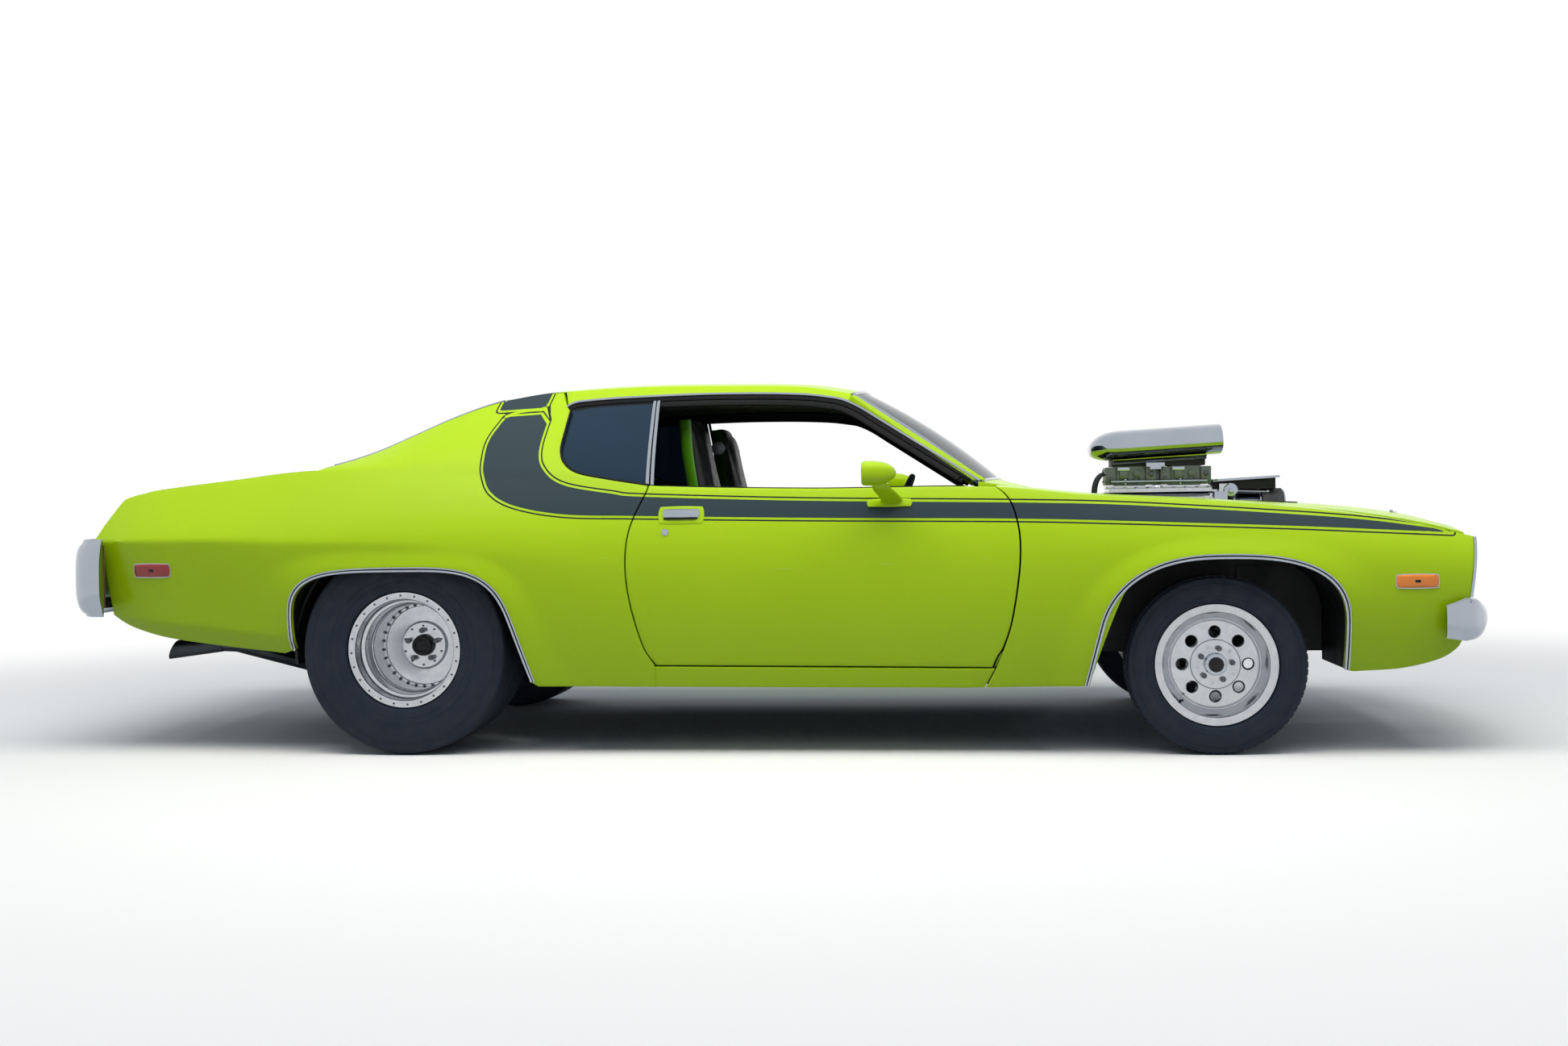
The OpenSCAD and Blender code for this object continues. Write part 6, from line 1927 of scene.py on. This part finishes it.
@dataclass
class EngineTop:
    """Blower, belt, carburettors and scoop that stand through the hood."""

    scoop_length: float = 512
    scoop_width: float = 322
    scoop_height: float = 122
    tilt: float = 3

    def build(self) -> None:
        """Make every piece of the open engine."""
        self.scoop()
        self.blower()
        self.carburettors()

    def scoop(self) -> None:
        """Polished scoop: bullet-shaped behind, open in front."""
        def section(t: float, inset: float) -> Array:
            """One loop of the scoop at a share of its length.

            Args:
                t: The share.
                inset: How far inside the outer skin.

            Returns:
                The loop.
            """
            full = math.sqrt(max(0.0, 1 - (1 - min(1, t / 0.24)) ** 2.2))
            g = np.arange(72) * 2 * math.pi / 72
            c, s = np.cos(g), np.sin(g)
            power = np.where(s > 0, 2.9, 2.3)
            half = self.scoop_width / 2
            y = (half * (0.35 + 0.65 * full) * (full > 0) - inset) * np.sign(c) * np.abs(c) ** (2 / power)
            mid = self.scoop_height * 0.42
            up = (self.scoop_height - mid) * full - inset
            down = mid * (0.25 + 0.75 * full) - inset
            z = mid + np.where(s > 0, up, down) * np.sign(s) * np.abs(s) ** (2 / power)
            return np.stack([np.full(72, self.scoop_length * t), y, z], axis=1)

        ts = np.concatenate([[0.004], np.linspace(0.012, 0.26, 16), np.linspace(0.3, 1, 16)])
        loops = [section(t, 0) for t in ts] + [section(t, 6) for t in ts[:5:-1]]
        a = math.radians(-self.tilt)
        turn = np.array([[math.cos(a), 0, math.sin(a)], [0, 1, 0], [-math.sin(a), 0, math.cos(a)]])
        placed = [loop @ turn.T + [1774 - self.scoop_length, 0, 1050] for loop in loops]
        clay = Clay().rings(placed)
        clay.box((1345, -72, 1034.3), (1712, 72, 1076), 1)
        rail = fillet([(300 + u, v) for u, v in ((-94, -16), (94, -16), (112, 5), (-112, 5))], 4, 3) - [300, 0]
        ends = [np.column_stack([np.full(len(rail), x), rail]) for x in (86, 452)]
        clay.rings([end @ turn.T + [1774 - self.scoop_length, 0, 1050] for end in ends], 2)
        clay.box((1478, -103, 1030), (1550, 103, 1046), 0).box((1492, -105, 1020), (1536, 105, 1032), 0)
        dress(clay.piece("air_scoop", (Paint.CHROME, Paint.SATIN, Paint.POLISHED), sharp=40), "body", "chrome",
              "scoop")

    @staticmethod
    def blower() -> None:
        """Blower case with ribs, snout, pulleys, belt and cover plate."""
        clay = Clay()
        loops = []
        section = np.array([(-118, 780.3), (-122, 866), (-112, 905), (-84, 930), (84, 930), (112, 905),
                            (122, 866), (118, 780.3)], float)
        ring = fillet(section + [1e3, 0], 14, 5) - [1e3, 0]
        for x in (1310, 1314, 1736, 1740):
            narrow, rise = (0.985, 13) if x in (1310, 1740) else (1, 0)
            loops.append(np.column_stack([np.full(len(ring), x), ring * narrow + [0, rise]]))
        clay.rings(loops, 1)
        for s in (-1, 1):
            rib = Clay().box((1335, s * 118 - 5, 800), (1341, s * 118 + 6, 908))
            clay.mesh(Repeat.grow(rib, 16, step=(26, 0, 0)), upright(0, 0, 0), 1)
        clay.box((1740, -118, 800), (1790, 118, 928), 0)
        clay.lathe(fillet([(0, 1789), (66, 1789), (66, 1826), (54, 1846), (52, 1930), (0, 1930)], 4),
                   along_x(0, 0, 866), 64, 0)
        for z in (866, 420):
            clay.lathe(fillet([(0, 1926), (67, 1926), (67, 1932), (62, 1934), (62, 2017), (67, 2019),
                               (67, 2025), (30, 2025), (28, 2016), (0, 2016)], 1.5),
                       along_x(0, 0, z), 64, 0)
            clay.mesh(Repeat.grow(Clay().box((-2.5, -3, -42), (2.5, 3, 42)), 34, 64), along_x(1976, 0, z), 2)
        loop = [[69 * math.cos(g), 866 + 69 * math.sin(g)] for g in np.linspace(0, math.pi, 33)]
        loop += [[69 * math.cos(g), 420 + 69 * math.sin(g)] for g in np.linspace(math.pi, 2 * math.pi, 33)]
        path = np.array([[1976, y, z] for y, z in spaced(loop + [loop[0]], 240)[:-1]])
        clay.sweep(path, np.array([[-40, -3.3], [40, -3.3], [40, 3.3], [-40, 3.3]]), path - [1976, 0, 643], 3,
                   closed=True)
        clay.box((1330, -105, 929), (1730, 105, 944), 1)
        clay.rings([np.array([[x, -66, 936], [x, 66, 936], [x, 66, z], [x, -66, z]])
                    for x, z in ((1742, 968), (1985, 980))], 4)
        guard = np.array([[-78, -5], [78, -5], [78, -2], [74, 4], [-74, 4], [-78, -2]], float)
        clay.rings([np.column_stack([np.full(6, x), guard[:, 0], z + guard[:, 1]])
                    for x, z in ((1740, 972), (2000, 985))], 0)
        for s in (-1, 1):
            clay.rod((1790, s * 52, 930), (1952, s * 40, 925), 9, 0, 24).rod((1952, s * 40, 925),
                                                                             (1962, s * 40, 925), 15, 0, 24)
            clay.mesh(Repeat.grow(bolt(5.5, 7), 9, step=(48, 0, 0)), upright(1345, s * 98, 943), 0)
            clay.lathe(fillet([(0, -20), (30, -20), (30, 12), (24, 18), (10, 18), (10, 24), (0, 24)], 2),
                       turned(1806, 84, 930, s), 40, 0)
            clay.box((1762, s * 84 - 12, 905), (1800, s * 84 + 10, 958), 1)
        clay.box((1741, -60, 900), (1789, 60, 940), 1)
        finishes = (Paint.CHROME, Paint.POLISHED, Paint.SATIN, Paint.BELT, Paint.RUBBER)
        dress(clay.piece("blower_and_belt", finishes, sharp=30), "body", "chrome", "blower")

    @staticmethod
    def carburettors() -> None:
        """Two carburettors with float bowls, screws, linkage and fuel rail."""
        clay = Clay()
        for x in (1420, 1635):
            clay.box((x - 95, -80, 944.3), (x + 95, 80, 956), 1)
            clay.box((x - 58, -68, 955), (x + 58, 68, 1037))
            clay.box((x - 57, -60, 966), (x + 57, 60, 992))
            for e in (-1, 1):
                clay.box((x + e * 79 - 20, -75, 960), (x + e * 79 + 20, 75, 1030))
                clay.box((x + e * 79 - 15, -79, 970), (x + e * 79 + 15, 79, 1006))
                for y in (-58, 58):
                    clay.rod((x + e * 98, y, 975), (x + e * 102, y, 975), 5, 2, 8)
                    clay.rod((x + e * 98, y, 1018), (x + e * 102, y, 1018), 5, 2, 8)
            for s in (-1, 1):
                for dx in (-34, -12, 12, 34):
                    clay.rod((x + dx, s * 68, 985), (x + dx, s * 74, 985), 4.5, 2, 8)
                clay.box((x - 54, s * 80 - 10, 1015), (x - 6, s * 80 + 10, 1029), 3)
                clay.box((x - 46, s * 78 - 9, 984), (x - 14, s * 78 + 9, 1016))
                clay.lathe(fillet([(0, 0), (15, 0), (15, 12), (0, 14)], 2), turned(x + 24, 66, 1004, s), 24)
                clay.lathe(fillet([(0, 0), (11, 0), (11, 9), (0, 11)], 2), turned(x + 79, 78, 1002, s), 20, 2)
                clay.lathe(fillet([(0, 0), (9, 0), (9, 9), (0, 11)], 2), turned(x - 79, 78, 984, s), 20, 2)
                clay.rod((x - 30, s * 76, 968), (x + 30, s * 76, 968), 4, 3, 12)
                clay.box((x - 26, s * 76 - 3, 958), (x - 18, s * 76 + 3, 985), 3)
            for dx in (-28, 28):
                for dy in (-30, 30):
                    clay.rod((x + dx, dy, 1020), (x + dx, dy, 1046), 24, 0, 32)
        clay.box((1514, -56, 958), (1541, 56, 1024), 2)
        for s in (-1, 1):
            clay.rod((1340, s * 88, 972), (1716, s * 88, 972), 6, 3, 16)
            for x in (1343, 1497, 1558, 1712):
                clay.rod((x, s * 88, 972), (x, s * 70, 980), 5, 3, 12)
            line = curve([(1326, s * 62, 1006), (1310, s * 62, 1003), (1293, s * 62, 984), (1282, s * 62, 950),
                          (1277, s * 62, 880)], 8)
            clay.sweep(line, superellipse(7, 7, 2, 16), (0, 1, 0), 4)
            clay.rod((1332, s * 62, 1006), (1316, s * 62, 1006), 10, 3, 6)
        finishes = (Paint.DICHROMATE, Paint.POLISHED, Paint.STEEL, Paint.CHROME, Paint.PIPE)
        dress(clay.piece("carburettor_pair", finishes, bevel=1.5, sharp=30), "body", "steel", "carburettors")


class Cabin:
    """Seats, dashboard dress and trims, and the CAD pieces that stay in view."""

    KEEP = {"floor_pan": Paint.CLOTH, "frame_rails": Paint.SATIN, "firewall": Paint.SATIN,
            "door_posts": Paint.SATIN,
            "inner_fenders": Paint.SATIN, "wheel_tubs": Paint.SATIN, "rear_bulkhead": Paint.VINYL,
            "engine": Paint.CAST, "driveshaft": Paint.STEEL, "rear_axle": Paint.SATIN,
            "front_suspension": Paint.SATIN, "knuckle_left": Paint.STEEL, "knuckle_right": Paint.STEEL,
            "windshield_pillars": Paint.LIME, "dashboard": Paint.VINYL,
            "exhaust": Paint.PIPE}

    @classmethod
    def build(cls, nodes: dict) -> None:
        """Finish the kept CAD pieces and make the seats and dials.

        Args:
            nodes: The CAD's objects by name.
        """
        for name, finish in cls.KEEP.items():
            mesh = nodes[name].data
            mesh.materials.clear()
            mesh.materials.append(finish.material())
        cls.seats()
        cls.dials()
        cls.wheel()

    @staticmethod
    def seats() -> None:
        """Both high-backed bucket seats: padding swelled by cloth under pressure, in painted shells."""
        y0, shrink = 418, 9
        loops = []
        for t in np.linspace(0, 1, 40):
            end = max((1 - abs(2 * t - 1) ** 8) ** 0.5, 0.12) if 0 < t < 1 else 0.05
            ring = superellipse((212 + 12 * t) * end - shrink, (78 - shrink) * end, 4, 60)
            loops.append(np.column_stack([np.full(60, -86 + 482 * t), y0 + ring[:, 0], 410 + 12 * t + ring[:, 1]]))
        spine = curve([[-110, 420, 212, 68], [-205, 760, 204, 58], [-245, 960, 178, 46], [-268, 1090, 150, 42],
                       [-288, 1222, 130, 38], [-290, 1250, 120, 26]], 10)
        back = []
        for k, (x, z, half, deep) in enumerate(spine):
            cap = {0: 0.35, 1: 0.75, len(spine) - 2: 0.75, len(spine) - 1: 0.35}.get(k, 1)
            ring = superellipse((half - shrink) * cap, (deep - shrink) * cap, 3.6, 60)
            back.append(np.column_stack([x + ring[:, 1], y0 + ring[:, 0], np.full(60, z)]))
        pads = Clay().rings(loops).rings(back).piece("seat_padding", (Paint.VINYL,))
        swell(pads, voxel=11, cap=14, seams=(y0 - 112, y0 + 112))
        soft = Wheels.loose(pads)
        shell = Clay()
        spine = curve([[-178, 440, 216], [-258, 760, 208], [-291, 960, 182], [-316, 1100, 150],
                       [-328, 1230, 120]], 8)
        outer = np.array([[[x + 46 * v ** 8 - 4 * (1 - v * v), y0 + half * v, z] for v in np.linspace(-1, 1, 30)]
                          for x, z, half in spine])
        shell.shell(outer - [5, 0, 0], outer, (0, 0, 0))
        shell.lathe(fillet([(0, 0), (34, 0), (34, 4), (0, 7)], 2),
                    lambda p: np.stack([-322 - p[:, 2], y0 + p[:, 0], 1170 + p[:, 1]], axis=1), 40, 1)
        shell.lathe(fillet([(0, 0), (30, 0), (30, 4), (0, 7)], 2),
                    lambda p: np.stack([-296 + p[:, 0], y0 - 146 - p[:, 2], 1150 + p[:, 1]], axis=1), 40, 1)
        shell.box((-150, 178, 274.3), (400, 658, 300), 2)
        for side, s in SIDES:
            obj = Clay().mesh(soft, upright(0, 0, 0)).mirrored(s).piece(f"seat_{side}_pads", (Paint.VINYL,),
                                                                        sharp=60)
            dress(obj, "body", "leather", f"seat_{side}")
            dress(shell.mirrored(s).piece(f"seat_{side}_shell", (Paint.SHELL, Paint.CAST, Paint.SATIN)), "body",
                  "paint")

    @staticmethod
    def wheel() -> None:
        """Steering wheel with a moulded rim, three drilled spokes, a horn cap and its column."""
        lean = math.radians(66)
        turn = np.array([[math.cos(lean), 0, -math.sin(lean)], [0, 1, 0], [math.sin(lean), 0, math.cos(lean)]])
        place = lambda p: p @ turn.T + [462, 355, 850]
        clay = Clay().lathe([(181 + 12 * math.cos(g), 13 * math.sin(g))
                             for g in np.linspace(0, 2 * math.pi, 21)[:-1]], place, 96)
        clay.lathe(fillet([(0, -14), (36, -14), (40, 0), (32, 14), (20, 20), (0, 21)], 3), place, 48)
        clay.lathe(fillet([(0, 19), (17, 19), (15, 24), (0, 25)], 2), place, 32, 1)
        for k in range(3):
            g = math.radians(120 * k + 180)
            for low, high in ((-15, -5), (5, 15)):
                block = np.array([[r, w, t] for r, half in ((30, 1.0), (176, 0.8)) for w, t in
                                  ((low * half, -3), (high * half, -3), (high * half, 2), (low * half, 2))])
                spin = np.array([[math.cos(g), math.sin(g), 0], [-math.sin(g), math.cos(g), 0], [0, 0, 1]])
                clay.rings([place(block[:4] @ spin), place(block[4:] @ spin)], 1)
        shaft = place(np.array([[0, 0, -12.0], [0, 0, -120.0], [0, 0, -194.0]]))
        clay.rod(shaft[0], shaft[1], 19, 0, 32).rod(shaft[1], shaft[2], 24, 0, 32)
        dress(clay.piece("steering_wheel_rim", (Paint.VINYL, Paint.POLISHED)), "body", "trim", "steering_wheel")

    @staticmethod
    def dials() -> None:
        """Round dials on the dashboard's face."""
        clay = Clay()
        for y, r in ((430, 52), (310, 52), (520, 30), (220, 30), (120, 30)):
            place = lambda p, y=y: np.stack([639.6 - p[:, 2], y + p[:, 0], 790 + p[:, 1]], axis=1)
            clay.lathe(fillet([(r - 6, 0), (r, 0), (r, 8), (r - 6, 8)], 1.5), place, 48, 0)
            clay.lathe([(0, 0), (r - 5, 0), (r - 5, 3), (0, 3)], place, 48, 1)
        clay.box((636, -520, 770), (639.6, -120, 830), 2)
        dress(clay.piece("dashboard_dials", (Paint.CHROME, Paint.SATIN, Paint.POLISHED)), "body", "trim")


@dataclass
class Studio:
    """Floor, soft light, white surround and the camera of the photograph."""

    eye: tuple = (0.7454, -6.8239, 0.8783)
    yaw: float = -0.1067
    roll: float = -0.0146
    lens: float = 38.106
    rise: float = -15.9 / 1945

    def build(self) -> None:
        """Make the set."""
        scene = bpy.context.scene
        scene.view_settings.view_transform = "Standard"
        self.camera()
        self.world()
        self.floor()
        for name, place, aim, size, power, tint in (("top", (0.2, -2.3, 5.0), (0, 0, 0.5), (7.5, 3.0), 350,
                                                     "#fff9ef"),
                                              ("side", (0.5, -6.5, 4.2), (0, 0, 0.6), (8.0, 2.2), 24, "#eaf2ff"),
                                              ("far", (-0.5, 6.5, 3.8), (0, 0, 0.6), (8.0, 2.2), 60, "#ffffff"),
                                              ("nose", (6.5, -1.0, 3.2), (1, 0, 0.6), (3.5, 2.0), 30, "#ffffff"),
                                              ("tail", (-6.5, -1.0, 3.2), (-1, 0, 0.6), (3.5, 2.0), 30, "#ffffff")):
            lamp = bpy.data.lights.new(f"softbox_{name}", "AREA")
            lamp.shape, lamp.size, lamp.size_y, lamp.energy = "RECTANGLE", size[0], size[1], power
            lamp.color = linear(tint)[:3]
            obj = bpy.data.objects.new(lamp.name, lamp)
            obj.location = place
            obj.rotation_euler = (Vector(aim) - Vector(place)).to_track_quat("-Z", "Y").to_euler()
            obj.visible_glossy = False
            scene.collection.objects.link(obj)

    def camera(self) -> None:
        """Camera at the photograph's place."""
        data = bpy.data.cameras.new("portrait")
        data.lens, data.sensor_width, data.shift_y = self.lens, 36, self.rise
        ahead = Vector((math.sin(self.yaw), math.cos(self.yaw), 0))
        right = Vector((math.cos(self.yaw), -math.sin(self.yaw), 0))
        up = Vector((0, 0, 1))
        basis = Matrix((right, up, -ahead)).transposed().to_4x4()
        obj = bpy.data.objects.new("portrait", data)
        obj.matrix_world = Matrix.Translation(self.eye) @ basis @ Matrix.Rotation(self.roll, 4, "Z")
        bpy.context.scene.collection.objects.link(obj)
        bpy.context.scene.camera = obj

    @staticmethod
    def seen(tree: bpy.types.NodeTree) -> bpy.types.NodeSocket:
        """1 for rays that show the background: camera, glossy and transmission.

        Args:
            tree: The tree.

        Returns:
            The socket.
        """
        path = add(tree, "ShaderNodeLightPath").outputs
        some = add(tree, "ShaderNodeMath", {0: path["Is Camera Ray"], 1: path["Is Glossy Ray"]},
                   operation="MAXIMUM")
        return add(tree, "ShaderNodeMath", {0: some.outputs[0], 1: path["Is Transmission Ray"]},
                   operation="MAXIMUM").outputs[0]

    def world(self) -> None:
        """White to the eye, and a soft grey light otherwise."""
        world = bpy.data.worlds.new("white_surround")
        world.use_nodes = True
        tree = world.node_tree
        tree.nodes.clear()
        white = add(tree, "ShaderNodeBackground", {"Color": (1, 1, 1, 1), "Strength": 1.0})
        light = add(tree, "ShaderNodeBackground", {"Color": linear("#dfeaf6"), "Strength": 0.3})
        both = add(tree, "ShaderNodeMixShader", {0: self.seen(tree), 1: light.outputs[0], 2: white.outputs[0]})
        add(tree, "ShaderNodeOutputWorld", {"Surface": both.outputs[0]})
        bpy.context.scene.world = world

    def floor(self) -> None:
        """A plain pale floor that keeps the shadow and fades to white far off."""
        mesh = bpy.data.meshes.new("floor")
        r = 40.0
        mesh.from_pydata([(-r, -r, 0), (r, -r, 0), (r, r, 0), (-r, r, 0)], [], [(0, 1, 2, 3)])
        made = bpy.data.materials.new("pale_floor")
        made.use_nodes = True
        tree = made.node_tree
        tree.nodes.clear()
        seen = self.seen(tree)
        shade = add(tree, "ShaderNodeMix", {"Factor": seen}, data_type="RGBA")
        dull, pale = [socket for socket in shade.inputs if socket.type == "RGBA"]
        dull.default_value, pale.default_value = linear("#a8a9aa"), linear("#eef1f5")
        matt = add(tree, "ShaderNodeBsdfDiffuse", {"Color": [c for c in shade.outputs if c.type == "RGBA"][0]})
        glow = add(tree, "ShaderNodeEmission", {"Color": (1, 1, 1, 1), "Strength": 1.0})
        where = add(tree, "ShaderNodeTexCoord").outputs["Object"]
        far = add(tree, "ShaderNodeVectorMath", {0: where}, operation="LENGTH").outputs["Value"]
        fade = add(tree, "ShaderNodeMapRange",
                   {"Value": far, "From Min": 2.6, "From Max": 7.0, "To Min": 0.0, "To Max": 1.0},
                   interpolation_type="SMOOTHSTEP").outputs["Result"]
        share = add(tree, "ShaderNodeMath", {0: fade, 1: seen}, operation="MULTIPLY").outputs[0]
        both = add(tree, "ShaderNodeMixShader", {0: share, 1: matt.outputs[0], 2: glow.outputs[0]})
        add(tree, "ShaderNodeOutputMaterial", {"Surface": both.outputs[0]})
        mesh.materials.append(made)
        obj = bpy.data.objects.new("floor", mesh)
        bpy.context.scene.collection.objects.link(obj)


def main() -> None:
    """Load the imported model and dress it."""
    logging.basicConfig(level=logging.INFO, format="%(name)s: %(message)s")
    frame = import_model()
    Studio().build()
    BodyPanels().build()
    Glazing.build()
    Brightwork().build()
    Lamps.build()
    Wheels().build()
    WheelWells().build()
    EngineTop().build()
    Cabin.build(frame["nodes"])


if __name__ == "__main__":
    main()
